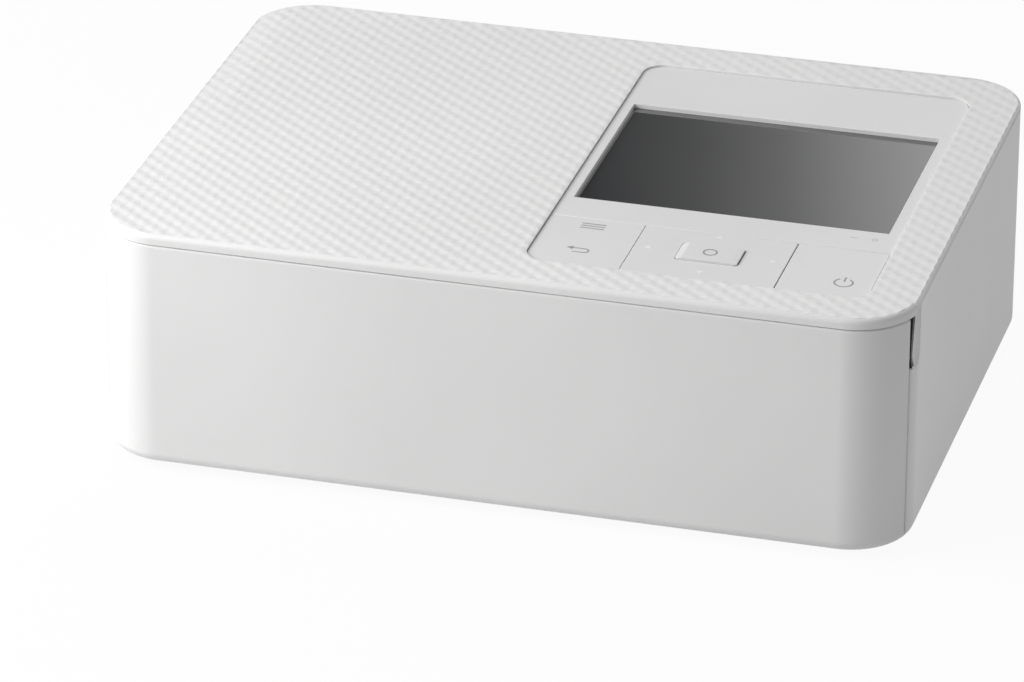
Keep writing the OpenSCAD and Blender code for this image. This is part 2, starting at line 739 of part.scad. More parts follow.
lcd_t = 3.2;
module lcd_module() {
  z = min(window_z, plate_z) - 0.1 - lcd_t;
  margin = 1.4;
  color("gray") difference() {
    translate([screen_x0 - margin, screen_y0 - 5, z]) cube([screen_w + 2 * margin, screen_l + 8, lcd_t]);
    // glass lies a little lower than the metal frame
    translate([screen_x0, screen_y0, z + lcd_t - 0.4]) cube([screen_w, screen_l, 1]);
  }
}

// Part of the key row between two X values, as a flat outline
module key_outline(x0, x1) {
  intersection() {
    panel_outline(0.12);
    translate([x0, panel_y0 - 1]) square([x1 - x0, key_l + 1 - key_gap / 2]);
  }
}

module menu_key() {
  color("whitesmoke") translate([0, 0, key_z]) linear_extrude(key_t)
    key_outline(panel_x0, nav_x0 - key_gap / 2);
}

module nav_plate() {
  color("whitesmoke") difference() {
    translate([0, 0, key_z]) linear_extrude(key_t) key_outline(nav_x0 + key_gap / 2, nav_x1 - key_gap / 2);
    translate([nav_x, nav_y, key_z - 1]) linear_extrude(key_t + 2)
      round_rect(ok_w + 2 * key_gap, ok_l + 2 * key_gap, 0.8);
  }
}

module nav_pivot() {
  z = dome_z - 0.05;
  color("gray") translate([nav_x, nav_y, z]) linear_extrude(0.3) difference() {
    round_rect(ok_w + 5, ok_l + 4, 1.5);
    round_rect(ok_w + 1, ok_l + 1, 1);
  }
}

module ok_key() {
  top = panel_z + ok_rise;
  color("whitesmoke") intersection() {
    translate([nav_x, nav_y, key_z]) linear_extrude(top - key_z) round_rect(ok_w, ok_l, 0.7);
    translate([nav_x, nav_y + ok_l / 2 + 1, 0]) rotate([90, 0, 0]) linear_extrude(ok_l + 2)
      polygon([[-ok_w / 2, key_z - 1], [ok_w / 2, key_z - 1], [ok_w / 2, panel_z],
        [ok_w / 2 - ok_slope, top],
        [-ok_w / 2 + ok_slope, top], [-ok_w / 2, panel_z]]);
  }
}

module power_key() {
  color("whitesmoke") translate([0, 0, key_z]) linear_extrude(key_t)
    key_outline(nav_x1 + key_gap / 2, panel_x1);
}

// Middles of the rubber domes
dome_spots = [[panel_x0 + menu_key_w / 2, key_mid_y + 8], [panel_x0 + menu_key_w / 2, key_mid_y - 8],
  [nav_x, nav_y], [nav_x - 12.5, nav_y], [nav_x + 12.5, nav_y], [nav_x, nav_y + 8.6], [nav_x, nav_y - 9.6],
  [(nav_x1 + panel_x1) / 2, key_mid_y]];
mat_z = ledge_z;
module key_mat() {
  color("slategray") union() {
    translate([0, 0, mat_z]) linear_extrude(mat_t) intersection() {
      panel_outline(ledge_w + 0.3);
      translate([panel_x0, panel_y0]) square([panel_w, key_l - 0.5]);
    }
    for (p = dome_spots) translate([p[0], p[1], mat_z + mat_t - eps])
      cylinder(h = dome_z - 0.1 - mat_z - mat_t + eps, r = 2);
  }
}

module key_board() {
  board_y = bulkhead_y + bulkhead_t + 0.3;
  color("seagreen") union() {
    translate([panel_x0 + 0.2, board_y, mat_z - board_t])
      cube([panel_w - 0.4, key_y1 + 0.2 - board_y, board_t]);
    translate([panel_x0 + 50, panel_y0 + 8, mat_z - board_t - 1.6]) cube([14, 4, 1.7]);
  }
}

// ---------- electronics ----------

board_x0 = frame_right_x + 3.2;
board_x1 = half_w - wall - 9.5;
board_y0 = bulkhead_y + bulkhead_t + 2;
board_y1 = platen_y - 12;
board_z = base_z + 5;
module main_board() {
  top = board_z + 1.6;
  color("darkgreen") difference() {
    translate([board_x0, board_y0, board_z]) cube([board_x1 - board_x0, board_y1 - board_y0, 1.6]);
    for (x = [board_x0 + 4, board_x1 - 4], y = [board_y0 + 5, board_y1 - 5])
      translate([x, y, board_z - 1]) cylinder(h = 4, r = 1.2);
  }
  // processor, memory, driver, connectors, coil and capacitors
  color("black") translate([board_x0 + 9, board_y0 + 18.3, top]) cube([13, 13, 1.4]);
  color("black") translate([board_x1 - 5.6, board_y0 + 21.3, top]) cube([5, 10, 1]);
  color("black") translate([board_x0 + 9, board_y1 - 14, top]) cube([9, 9, 1.2]);
  color("ivory") for (i = [0:2])
    translate([board_x0 + 0.6, board_y0 + 10.3 + i * (board_y1 - board_y0 - 27.5) / 2, top])
      cube([4.5, 9, 5]);
  color("black") translate([board_x1 - 8, board_y1 - 23.4, top]) cube([7, 7, 5]);
  color("slategray")
    for (p = [[board_x0 + 11, board_y0 + 8.3], [board_x1 - 9, board_y0 + 10.3],
        [board_x1 - 5, board_y1 - 12.2]])
      translate([p[0], p[1], top]) cylinder(h = 11, r = 4);
}

io_x = -half_w + wall + 9;
module io_board() {
  color("darkgreen") translate([io_x, usb_y - 12.6, usb_z - 7]) cube([1.4, 24, 21]);
  color("ivory") translate([io_x + 1.4, usb_y - 5, usb_z - 5]) cube([3, 10, 3]);
}

module card_slot() {
  color("silver") difference() {
    translate([-half_w + wall + 0.25, card_y - card_w / 2 - 1, card_z - card_h / 2 - 0.6])
      cube([io_x + half_w - wall - 0.25, card_w + 2, card_h + 1.2]);
    translate([-half_w, card_y - card_w / 2, card_z - 1.2]) cube([io_x + half_w - 1, card_w, 2.4]);
  }
}

module usb_c_port() {
  color("silver") difference() {
    translate([-half_w + wall - 1.4, usb_y, usb_z]) rotate([90, 0, 90])
      linear_extrude(io_x + half_w - wall + 1.4)
      round_rect(usb_w, usb_h, usb_h / 2 - 0.02);
    translate([-half_w, usb_y, usb_z]) rotate([90, 0, 90]) linear_extrude(io_x + half_w - 2)
      round_rect(usb_w - 0.6, usb_h - 0.6, usb_h / 2 - 0.32);
  }
  color("black") translate([-half_w + wall, usb_y - 3.3, usb_z - 0.35])
    cube([io_x + half_w - wall - 1, 6.6, 0.7]);
}

jack_len = 12;
jack_bore_r = 2.75;
module dc_jack() {
  y0 = rear_in - jack_len;
  color("black") difference() {
    union() {
      translate([jack_x - 4.5, y0, jack_z - 5.5]) cube([9, jack_len, 11]);
      translate([jack_x, rear_in - 1, jack_z]) rotate([-90, 0, 0])
        cylinder(h = 1 + wall - 0.4, r = jack_hole_r - 0.1);
    }
    translate([jack_x, y0 + 2.5, jack_z]) rotate([-90, 0, 0]) cylinder(h = jack_len + 4, r = jack_bore_r);
  }
  color("silver") translate([jack_x, y0 + 2.4, jack_z]) rotate([-90, 0, 0])
    cylinder(h = jack_len - 2.4, r = 0.8);
}

// ---------- print engine ----------

frame_z0 = base_z + 0.02;
bush_r = shaft_r + 1.2;
spindle_r = 3;

// Outline shared by both side plates of the engine
module frame_outline() {
  top = head_pos[1] + 4;
  low_top = takeup_pos[1] + tube_r + 4;
  polygon([[frame_y0, frame_z0], [capstan_y + 12, frame_z0], [capstan_y + 12, base_z + 1.5],
    [frame_y1, base_z + 1.5],
    [frame_y1, top - 3], [frame_y1 - 2.5, top], [head_pos[0] - 8, top], [takeup_pos[0] - 1.2, low_top],
    [frame_y0 + 5, low_top], [frame_y0, low_top - 5.5]]);
}

module frame_right() {
  color("silver") difference() {
    union() {
      across(frame_right_x, frame_t) frame_outline();
      translate([frame_right_x - 5, frame_y0 + 1, frame_z0]) cube([5 + eps, capstan_y + 9 - frame_y0, 1.2]);
      across(frame_right_x - 6, 6 + eps) cradle_outline();
      // stud of the reduction gear
      rod(reduction_pos, 1.4, frame_right_x + frame_t - eps, bracket_x);
    }
    for (p = [platen_pos, capstan_pos]) rod(p, bush_r + 0.02, 0, half_w);
    rod(pinch_pos, shaft_r + run_gap, 0, half_w);
    rod(head_pos, shaft_r + run_gap, 0, half_w);
    rod(takeup_pos, spindle_r + run_gap, 0, half_w);
    for (p = tie_spots) rod(p, 1.5 + 0.02, 0, half_w);
  }
}

// Low shell that carries an end of the ribbon cassette
module cradle_outline() {
  intersection() {
    difference() {
      cassette_outline(1.5);
      cassette_outline(0.3);
    }
    translate([supply_pos[0] - tube_r - 5, path_z - 10.9]) square([spool_span + 2 * tube_r + 10, 20]);
  }
}

tie_spots = [[frame_y0 + 4, base_z + 6.2], [capstan_y + 4, base_z + 4.2],
  [head_pos[0] + 7.5, head_pos[1] + 0.5]];
module frame_left() {
  color("silver") difference() {
    union() {
      across(frame_left_x, frame_t) frame_outline();
      translate([frame_left_x + frame_t - eps, frame_y0 + 1, frame_z0])
        cube([5, capstan_y + 9 - frame_y0, 1.2]);
      across(frame_left_x, frame_t + 6) cradle_outline();
      rod(lever_pos, 1.2, frame_left_x - 3.4, frame_left_x + eps);
    }
    for (p = [platen_pos, capstan_pos]) rod(p, bush_r + 0.02, -half_w, 0);
    rod(pinch_pos, shaft_r + run_gap, -half_w, 0);
    rod(head_pos, shaft_r + run_gap, -half_w, 0);
    rod(lift_pos, 1.5 + run_gap, -half_w, 0);
    for (p = tie_spots) rod(p, 1.5 + 0.02, -half_w, 0);
    // way in for the ribbon cassette
    across(frame_left_x - 1, frame_t + 2) cassette_outline(0.3);
  }
}

module tie_bars() {
  color("silver") for (p = tie_spots) rod(p, 1.5, frame_left_x, frame_right_x + frame_t);
}

post_spots = [[platen_y + 2, path_z + 19.1], [capstan_y + 11, base_z + 3.6], tie_spots[2]];
module motor_bracket() {
  color("silver") difference() {
    union() {
      across(bracket_x, bracket_t) polygon([[platen_y - 2, path_z + 13.1], [platen_y - 2, path_z + 25.1],
        [platen_y + 8, head_pos[1] + 4], [frame_y1 - 0.5, head_pos[1] + 4], [frame_y1 - 0.5, base_z + 1.6],
        [capstan_y + 4, base_z + 1.6], [capstan_y - 10, path_z - 0.9], [capstan_y - 24, path_z + 9.1]]);
      for (p = post_spots) rod(p, 2, frame_right_x + frame_t, bracket_x + eps);
    }
    rod(motor_pos, 4.6, 0, half_w);
    rod(ribbon_motor_pos, 3, 0, half_w);
    rod(reduction_pos, 1.4 + 0.02, bracket_x - 1, half_w);
  }
}

module guide(y0, y1, z1) {
  difference() {
    translate([paper_mid - paper_w / 2 - 3, y0, z1 - 1.4]) cube([paper_w + 6, y1 - y0, 1.4]);
    for (i = [0:3]) translate([paper_mid - 42 + i * 24, y0 + 3, z1 - 2]) cube([12, y1 - y0 - 6, 3]);
  }
  for (x = [paper_mid - paper_w / 2 - 3, paper_mid + paper_w / 2 + 1.6])
    translate([x, y0, frame_z0]) cube([1.4, y1 - y0, z1 - frame_z0]);
}

module paper_guide_front() {
  color("black") guide(platen_y - 25, platen_y - platen_r - 0.6, path_z - 0.6);
}

module paper_guide_rear() {
  color("black") guide(platen_y + platen_r + 0.6, capstan_y - capstan_r - 0.6, path_z - 0.6);
}

module roller_bushes() {
  color("goldenrod") for (p = [platen_pos, capstan_pos], x = [frame_left_x - 0.6, frame_right_x - 0.6])
    difference() {
    rod(p, bush_r, x, x + frame_t + 1.2);
    rod(p, shaft_r + run_gap, x - 1, x + 5);
  }
}

module platen_roller() {
  color("black") rod(platen_pos, platen_r, paper_mid - paper_w / 2 - 2, paper_mid + paper_w / 2 + 2);
  color("silver") rod(platen_pos, shaft_r, frame_left_x - 0.8, frame_right_x + frame_t + 0.8);
}

module capstan_roller() {
  color("silver") union() {
    rod(capstan_pos, capstan_r, paper_mid - paper_w / 2 - 2, paper_mid + paper_w / 2 + 2);
    rod(capstan_pos, shaft_r, frame_left_x - 0.8, gear_x);
  }
}

module capstan_gear() {
  color("ivory") difference() {
    union() {
      across(gear_x, gear_t) gear(capstan_pos, capstan_n, mod_roller, capstan_phase);
      rod(capstan_pos, 3.6, gear_x, gear_x + gear_t + 0.6);
    }
    across(gear_x - 1, gear_t + 2) web_holes(capstan_pos, 7, 2, 5);
  }
}

module pinch_roller() {
  color("dimgray") union() {
    rod(pinch_pos, pinch_r, paper_mid - paper_w / 2, paper_mid + paper_w / 2);
    rod(pinch_pos, shaft_r, frame_left_x - 0.4, frame_right_x + frame_t + 0.4);
  }
}

module pickup_arm() {
  mid_w = 8;
  color("black") difference() {
    union() {
      // closed gear case between the tyres
      across(paper_mid - mid_w / 2, mid_w) union() {
        disc_at(pickup_pivot, 4);
        disc_at(pickup_pos, 4);
        translate(pickup_pivot) rotate(line_angle(pickup_pivot, pickup_pos))
          translate([0, -3.5]) square([norm(pickup_pos - pickup_pivot), 7]);
      }
      rod(pickup_pivot, shaft_r, paper_mid - 27.5, paper_mid + 27.5);
    }
    rod(pickup_pos, shaft_r + run_gap, paper_mid - 20, paper_mid + 20);
  }
}

module pickup_roller() {
  color("dimgray") for (s = [-1, 1]) {
    x = paper_mid + s * (5.2 + pickup_tyre_w / 2);
    rod(pickup_pos, pickup_r, x - pickup_tyre_w / 2, x + pickup_tyre_w / 2);
  }
  color("silver") rod(pickup_pos, shaft_r, paper_mid - 6, paper_mid + 6);
}

module motor_can(pos, r, x0, len) {
  color("silver") difference() {
    union() {
      rod(pos, r, x0, x0 + len);
      rod(pos, r * 0.36, x0 + len - eps, x0 + len + 1.4);
    }
    across(x0 + len - 1, 2) for (a = [30:60:330]) translate(pos + at(a, r * 0.68)) circle(r * 0.12);
  }
}

feed_motor_r = 12.4;
ribbon_motor_r = 7.6;
module feed_motor() {
  motor_can(motor_pos, feed_motor_r, bracket_x + bracket_t, 17);
  color("silver") rod(motor_pos, 4.5, bracket_x - 0.2, bracket_x + bracket_t + eps);
}

module motor_pinion() {
  color("goldenrod") union() {
    across(gear2_x, gear_t) gear(motor_pos, pinion_n, mod_motor, pinion_phase);
    rod(motor_pos, 1, gear2_x, bracket_x - 0.5);
  }
}

module reduction_gear() {
  color("ivory") difference() {
    union() {
      across(gear_x, gear2_x - gear_x + eps) gear(reduction_pos, small_n, mod_roller, small_phase);
      across(gear2_x, gear_t) gear(reduction_pos, large_n, mod_motor, large_phase);
    }
    rod(reduction_pos, 1.4 + run_gap, 0, half_w);
  }
}

module ribbon_motor() {
  motor_can(ribbon_motor_pos, ribbon_motor_r, bracket_x + bracket_t, 16);
  color("silver") rod(ribbon_motor_pos, 2.9, bracket_x - 0.2, bracket_x + bracket_t + eps);
}

module ribbon_pinion() {
  color("goldenrod") union() {
    across(gear_x, gear_t) gear(ribbon_motor_pos, pinion_n, mod_motor, ribbon_phase);
    rod(ribbon_motor_pos, 1, gear_x, bracket_x - 0.5);
  }
}

// ---------- ribbon cassette ----------

cassette_x0 = frame_left_x + 6;
cassette_x1 = cassette_x0 + cassette_l;
bar_z = path_z + 0.8;
core_r = 4;

// Two tubes and the low bar between them, drawn as [y, z] and widened by u
module cassette_outline(u) {
  union() {
    disc_at(supply_pos, tube_r + u);
    disc_at(takeup_pos, tube_r + u);
    translate([supply_pos[0] - u, bar_z - u]) square([spool_span + 2 * u, 4.6 + 2 * u]);
  }
}

module ink_cassette() {
  end_t = 1.6;
  color("gray") difference() {
    union() {
      for (p = [supply_pos, takeup_pos]) rod(p, tube_r, cassette_x0, cassette_x1);
      // low bars that join the tubes at both ends
      for (x = [cassette_x0, cassette_x1 - 4]) across(x, 4) translate([supply_pos[0], bar_z])
        square([spool_span, 4.6]);
      // grip at the door end
      translate([cassette_x0 - 4, takeup_pos[0] - 5, takeup_pos[1] + 1]) cube([4 + eps, 8, 2]);
    }
    for (p = [supply_pos, takeup_pos]) {
      rod(p, tube_r - tube_t, cassette_x0 + end_t, cassette_x1 - end_t);
      rod(p, core_r + 0.3, cassette_x0 - 1, cassette_x1 + 1);
    }
    // slits through which the ribbon leaves
    for (s = [0, 1]) {
      p = s == 0 ? supply_pos : takeup_pos;
      across(cassette_x0 + 6, cassette_l - 12) translate([s == 0 ? p[0] : p[0] - tube_r - 1, path_z])
        square([tube_r + 1, 5.2]);
    }
  }
}

module spool(pos, wound_r) {
  color("black") union() {
    rod(pos, core_r, cassette_x0 + 0.4, cassette_x1 - 0.4);
    for (x = [cassette_x0 + 2.4, cassette_x1 - 4]) rod(pos, tube_r - tube_t - 0.6, x, x + 1.2);
  }
  color("saddlebrown") rod(pos, wound_r, paper_mid - paper_w / 2 - 2, paper_mid + paper_w / 2 + 2);
}

module takeup_spool() {
  difference() {
    spool(takeup_pos, ribbon_empty_r);
    rod(takeup_pos, 2.6, cassette_x1 - 7, cassette_x1);
  }
}

module supply_spool() {
  spool(supply_pos, ribbon_full_r);
}

module ink_ribbon() {
  y0 = supply_pos[0] + tube_r + 0.3;
  y1 = takeup_pos[0] - tube_r - 0.3;
  film = 0.2;
  color("saddlebrown") across(paper_mid - paper_w / 2 - 1, paper_w + 2) polygon([
    [supply_pos[0] + 2, supply_pos[1] - ribbon_full_r - 0.35], [y0, path_z + 0.25], [y1, path_z + 0.25],
    [takeup_pos[0] - 2, takeup_pos[1] - ribbon_empty_r - 0.45],
      [takeup_pos[0] - 2, takeup_pos[1] - ribbon_empty_r - 0.45 - film],
    [y1, path_z + 0.25 - film], [y0, path_z + 0.25 - film],
      [supply_pos[0] + 2, supply_pos[1] - ribbon_full_r - 0.35 - film]]);
}

module takeup_spindle() {
  color("ivory") union() {
    across(gear_x, gear_t) gear(takeup_pos, spindle_n, mod_motor, spindle_phase);
    rod(takeup_pos, spindle_r, frame_right_x - 0.6, gear_x + eps);
    rod(takeup_pos, 2.5, cassette_x1 - 5, frame_right_x);
  }
}

// ---------- print head ----------

// Place of the heating line when the head is down, just above the ribbon
line_down = [platen_pos[0], path_z + 0.45];
function turn(p, c, a) = c + [(p[0] - c[0]) * cos(a) - (p[1] - c[1]) * sin(a),
  (p[0] - c[0]) * sin(a) + (p[1] - c[1]) * cos(a)];
line_up = turn(line_down, head_pos, -head_swing);
head_x0 = paper_mid - paper_w / 2 - 3;
head_x1 = paper_mid + paper_w / 2 + 3;
bridge_z = takeup_pos[1] + tube_r + 1;
side_arm_x = [frame_left_x + frame_t + 0.6, frame_right_x - 0.6 - 1.5];

module head_arm() {
  color("silver") difference() {
    union() {
      // side arms from the pivot to the bridge
      for (x = side_arm_x) across(x, 1.5) union() {
        disc_at(head_pos, 4.2);
        translate([line_up[0] - 8, bridge_z]) square([head_pos[0] - line_up[0] + 8, 3.4]);
      }
      translate([side_arm_x[0], line_up[0] - 8, bridge_z])
        cube([side_arm_x[1] + 1.5 - side_arm_x[0], 17, 1.4]);
      translate([side_arm_x[0], line_up[0] - 8, bridge_z])
        cube([side_arm_x[1] + 1.5 - side_arm_x[0], 1.4, 3.4]);
    }
    rod(head_pos, shaft_r + 0.02, -half_w, half_w);
  }
}

module heat_sink() {
  z0 = line_up[1] + 3.4;
  color("dimgray") difference() {
    translate([head_x0, line_up[0] - head_w / 2, z0]) cube([head_x1 - head_x0, head_w, bridge_z - z0]);
    // fins
    for (y = [-4.4, -0.9, 2.6]) translate([head_x0 - 1, line_up[0] + y, z0 + 3])
      cube([head_x1 - head_x0 + 2, 1.8, bridge_z - z0 - 4.4]);
  }
}

module thermal_head() {
  z0 = line_up[1] + 3.4;
  color("ivory") intersection() {
    translate([head_x0, line_up[0] - head_w / 2, line_up[1]]) cube([head_x1 - head_x0, head_w, 3.4]);
    across(head_x0, head_x1 - head_x0) union() {
      translate([line_up[0] - head_w / 2, line_up[1] + 1.4]) square([head_w, 2]);
      disc_at(line_up + [0, 3], 3);
    }
  }
}

module head_shaft() {
  color("silver") rod(head_pos, shaft_r, frame_left_x - 3.4, frame_right_x + frame_t + 0.8);
  // toothed sector on the left end
  color("ivory") across(frame_left_x - 3.2, 2.4) intersection() {
    gear(head_pos, sector_n, mod_motor, sector_phase);
    union() {
      disc_at(head_pos, 4.2);
      translate(head_pos) polygon([[0, 0], at(lift_line - 26, 16), at(lift_line, 16),
        at(lift_line + 24, 16)]);
    }
  }
}

module lift_motor() {
  x0 = frame_left_x + frame_t;
  color("silver") union() {
    rod(lift_pos, 4.9, x0 + 9, x0 + 24);
    translate([x0, lift_pos[0] - 5, lift_pos[1] - 5]) cube([9 + eps, 10, 10]);
    rod(lift_pos, 2, x0 + 24 - eps, x0 + 25);
  }
}

module lift_gear() {
  color("ivory") across(frame_left_x - 3.2, 2.4) gear(lift_pos, lift_n, mod_motor, lift_phase);
  color("silver") rod(lift_pos, 1.5, frame_left_x - 0.8 - eps, frame_left_x + frame_t - 0.3);
}

base_case();
side_case();
top_cover();
front_panel();
front_cover();
hinge_pins();
ink_door();
ink_door_pins();
eject_lever();
rubber_feet();
case_screws();
panel_bezel();
display_window();
lcd_module();
menu_key();
nav_plate();
nav_pivot();
ok_key();
power_key();
key_mat();
key_board();
main_board();
io_board();
card_slot();
usb_c_port();
dc_jack();
frame_left();
frame_right();
tie_bars();
motor_bracket();
paper_guide_front();
paper_guide_rear();
roller_bushes();
platen_roller();
capstan_roller();
capstan_gear();
pinch_roller();
pickup_arm();
pickup_roller();
feed_motor();
motor_pinion();
reduction_gear();
ribbon_motor();
ribbon_pinion();
takeup_spindle();
takeup_spool();
supply_spool();
ink_cassette();
ink_ribbon();
head_arm();
thermal_head();
heat_sink();
head_shaft();
lift_motor();
lift_gear();
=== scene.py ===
import bpy
import bmesh
import math
from mathutils import Matrix, Vector


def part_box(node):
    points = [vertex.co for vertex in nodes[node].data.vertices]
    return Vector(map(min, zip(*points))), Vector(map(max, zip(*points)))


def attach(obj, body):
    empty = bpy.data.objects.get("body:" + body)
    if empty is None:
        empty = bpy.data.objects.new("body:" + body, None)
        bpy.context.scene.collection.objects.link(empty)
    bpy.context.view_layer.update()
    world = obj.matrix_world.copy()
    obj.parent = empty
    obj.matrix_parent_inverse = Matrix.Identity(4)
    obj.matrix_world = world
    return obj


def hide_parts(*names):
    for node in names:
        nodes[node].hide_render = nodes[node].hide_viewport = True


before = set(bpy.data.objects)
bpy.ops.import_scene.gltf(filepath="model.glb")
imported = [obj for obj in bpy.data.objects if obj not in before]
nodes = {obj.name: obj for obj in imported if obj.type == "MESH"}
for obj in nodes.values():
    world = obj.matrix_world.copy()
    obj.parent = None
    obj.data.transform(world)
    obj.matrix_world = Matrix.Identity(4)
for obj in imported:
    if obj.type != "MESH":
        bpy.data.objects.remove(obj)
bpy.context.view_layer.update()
mm = 0.001
print("frame loaded with", len(nodes), "nodes")


# small helpers for objects
def makePiece(name, bm, *mats):
    # turns a finished bmesh into a linked object
    mesh = bpy.data.meshes.new(name)
    bm.to_mesh(mesh)
    bm.free()
    for mat in mats:
        mesh.materials.append(mat)
    piece = bpy.data.objects.new(name, mesh)
    bpy.context.scene.collection.objects.link(piece)
    return piece


def makeSheet(name, width, depth, mat):
    # a flat sheet that faces up, centred on the origin
    bm = bmesh.new()
    bmesh.ops.create_grid(bm, x_segments=1, y_segments=1, size=0.5)
    bmesh.ops.scale(bm, vec=(width, depth, 1), verts=bm.verts)
    return makePiece(name, bm, mat)


def placeAndAim(thing, setup, axis):
    # axis is the thing's own direction that looks at the aim
    thing.location = setup["place"]
    sight = Vector(setup["aim"]) - Vector(setup["place"])
    thing.rotation_euler = sight.to_track_quat(axis, "Y").to_euler()


# small helpers for node trees
def newMaterial(name):
    mat = bpy.data.materials.new(name)
    mat.use_nodes = True
    return mat, mat.node_tree, mat.node_tree.nodes["Principled BSDF"]


def emptyMaterial(name):
    mat = bpy.data.materials.new(name)
    mat.use_nodes = True
    mat.node_tree.nodes.clear()
    return mat, mat.node_tree


def addOutput(tree, shader, kind="ShaderNodeOutputMaterial"):
    out = tree.nodes.new(kind)
    tree.links.new(shader.outputs[0], out.inputs["Surface"])


def objectCoords(tree):
    return tree.nodes.new("ShaderNodeTexCoord").outputs["Object"]


def splitAxes(tree, vector):
    parts = tree.nodes.new("ShaderNodeSeparateXYZ")
    tree.links.new(vector, parts.inputs["Vector"])
    return parts.outputs


def addMath(tree, operation, *values):
    # each value is a number or another node's output
    node = tree.nodes.new("ShaderNodeMath")
    node.operation = operation
    for socket, value in zip(node.inputs, values):
        if isinstance(value, float):
            socket.default_value = value
        else:
            tree.links.new(value, socket)
    return node.outputs[0]


def addNoise(tree, coords, scale, detail=3.0, roughness=0.5):
    noise = tree.nodes.new("ShaderNodeTexNoise")
    noise.inputs["Scale"].default_value = scale
    noise.inputs["Detail"].default_value = detail
    noise.inputs["Roughness"].default_value = roughness
    tree.links.new(coords, noise.inputs["Vector"])
    return noise.outputs["Fac"]


noiseReach = (0.3, 0.7)  # nearly all values of a noise lie between these


def addRange(tree, value, low, high, reach=noiseReach):
    spread = tree.nodes.new("ShaderNodeMapRange")
    spread.inputs["From Min"].default_value = reach[0]
    spread.inputs["From Max"].default_value = reach[1]
    spread.inputs["To Min"].default_value = low
    spread.inputs["To Max"].default_value = high
    tree.links.new(value, spread.inputs["Value"])
    return spread.outputs["Result"]


def addTones(tree, value, tones):
    # tones are (place, (r, g, b)) pairs along the ramp
    ramp = tree.nodes.new("ShaderNodeValToRGB")
    stops = ramp.color_ramp.elements
    stops[0].position, stops[1].position = tones[0][0], tones[-1][0]
    stops[0].color, stops[-1].color = (*tones[0][1], 1), (*tones[-1][1], 1)
    for place, tone in tones[1:-1]:
        stops.new(place).color = (*tone, 1)
    tree.links.new(value, ramp.inputs["Fac"])
    return ramp.outputs["Color"]


def setColour(tree, shader, value, look, swing=noiseReach):
    # from dark to light while the value goes through the swing
    tones = list(zip(swing, (look["dark"], look["light"])))
    tree.links.new(addTones(tree, value, tones), shader.inputs["Base Color"])


def setRoughness(tree, shader, value, look, reach=noiseReach):
    rough = addRange(tree, value, look["smooth"], look["rough"], reach)
    tree.links.new(rough, shader.inputs["Roughness"])


def setBump(tree, shader, height, depth):
    # lies on top of the bump that the shader has already
    bump = tree.nodes.new("ShaderNodeBump")
    bump.inputs["Strength"].default_value = 1.0
    bump.inputs["Distance"].default_value = depth
    tree.links.new(height, bump.inputs["Height"])
    for link in shader.inputs["Normal"].links:
        tree.links.new(link.from_socket, bump.inputs["Normal"])
    tree.links.new(bump.outputs["Normal"], shader.inputs["Normal"])


def rayMix(tree, litShader, whiteShader, share):
    # camera, mirror and glass rays see the white share, light itself sees the lit one
    rays = tree.nodes.new("ShaderNodeLightPath").outputs
    seen = addMath(tree, "MAXIMUM", rays["Is Camera Ray"], rays["Is Glossy Ray"])
    seen = addMath(tree, "MAXIMUM", seen, rays["Is Transmission Ray"])
    mix = tree.nodes.new("ShaderNodeMixShader")
    tree.links.new(addMath(tree, "MULTIPLY", seen, share), mix.inputs["Fac"])
    tree.links.new(litShader.outputs[0], mix.inputs[1])
    tree.links.new(whiteShader.outputs[0], mix.inputs[2])
    return mix


# camera, lamps, room and floor
photoCamera = {
    "azimuth": 15.5211, "elevation": 25.9403, "roll": 0.1503,  # degrees
    "distance": 1.4578445, "target": (0, 0, 0.028), "clip": (0.05, 20),  # metres
    "slide": (-0.0132328, -0.0151182),  # metres to the right and up, across the view
    "lens": 227.77, "sensor": 36,
}


def makeCamera(view):
    turn = Matrix.Rotation(math.radians(view["azimuth"]), 4, "Z")
    turn = turn @ Matrix.Rotation(math.radians(90 - view["elevation"]), 4, "X")
    turn = turn @ Matrix.Rotation(math.radians(view["roll"]), 4, "Z")
    place = Vector(view["target"]) + turn.to_3x3() @ Vector((*view["slide"], view["distance"]))
    data = bpy.data.cameras.new("photoCamera")
    data.lens = view["lens"]
    data.sensor_width = view["sensor"]
    data.clip_start, data.clip_end = view["clip"]
    camera = bpy.data.objects.new("photoCamera", data)
    camera.matrix_world = Matrix.Translation(place) @ turn
    bpy.context.scene.collection.objects.link(camera)
    bpy.context.scene.camera = camera


lamps = {
    # place, aim and size in metres, power in watts
    "leftBox": {
        "place": (-0.45, -0.25, 0.35), "aim": (0, 0, 0.03), "size": (0.45, 0.35), "power": 3.86,
    },
    "rearBox": {
        "place": (-0.05, 0.45, 0.65), "aim": (0, 0, 0.03), "size": (0.6, 0.4), "power": 1.21,
    },
}


def makeLamp(name, box):
    data = bpy.data.lights.new(name, "AREA")
    data.shape = "RECTANGLE"
    data.size, data.size_y = box["size"]
    data.energy = box["power"]
    lamp = bpy.data.objects.new(name, data)
    placeAndAim(lamp, box, "-Z")
    lamp.visible_camera = False
    bpy.context.scene.collection.objects.link(lamp)


studio = {
    "skyLight": 0.355,  # strength of the even light from all round
    "floorSize": 12.0, "floorTone": 0.72,
    "floorWhite": 0.94,  # share of plain white under the printer, where its shadow shows
    "fade": (0.20, 0.90),  # metres from the middle over which that share grows to 1
}


def makeWorld(room):
    world = bpy.data.worlds.new("studioRoom")
    world.use_nodes = True
    tree = world.node_tree
    tree.nodes.clear()
    skies = []
    for strength in (room["skyLight"], 1.0):
        sky = tree.nodes.new("ShaderNodeBackground")
        sky.inputs["Color"].default_value = (1, 1, 1, 1)
        sky.inputs["Strength"].default_value = strength
        skies.append(sky)
    addOutput(tree, rayMix(tree, *skies, 1.0), "ShaderNodeOutputWorld")
    bpy.context.scene.world = world


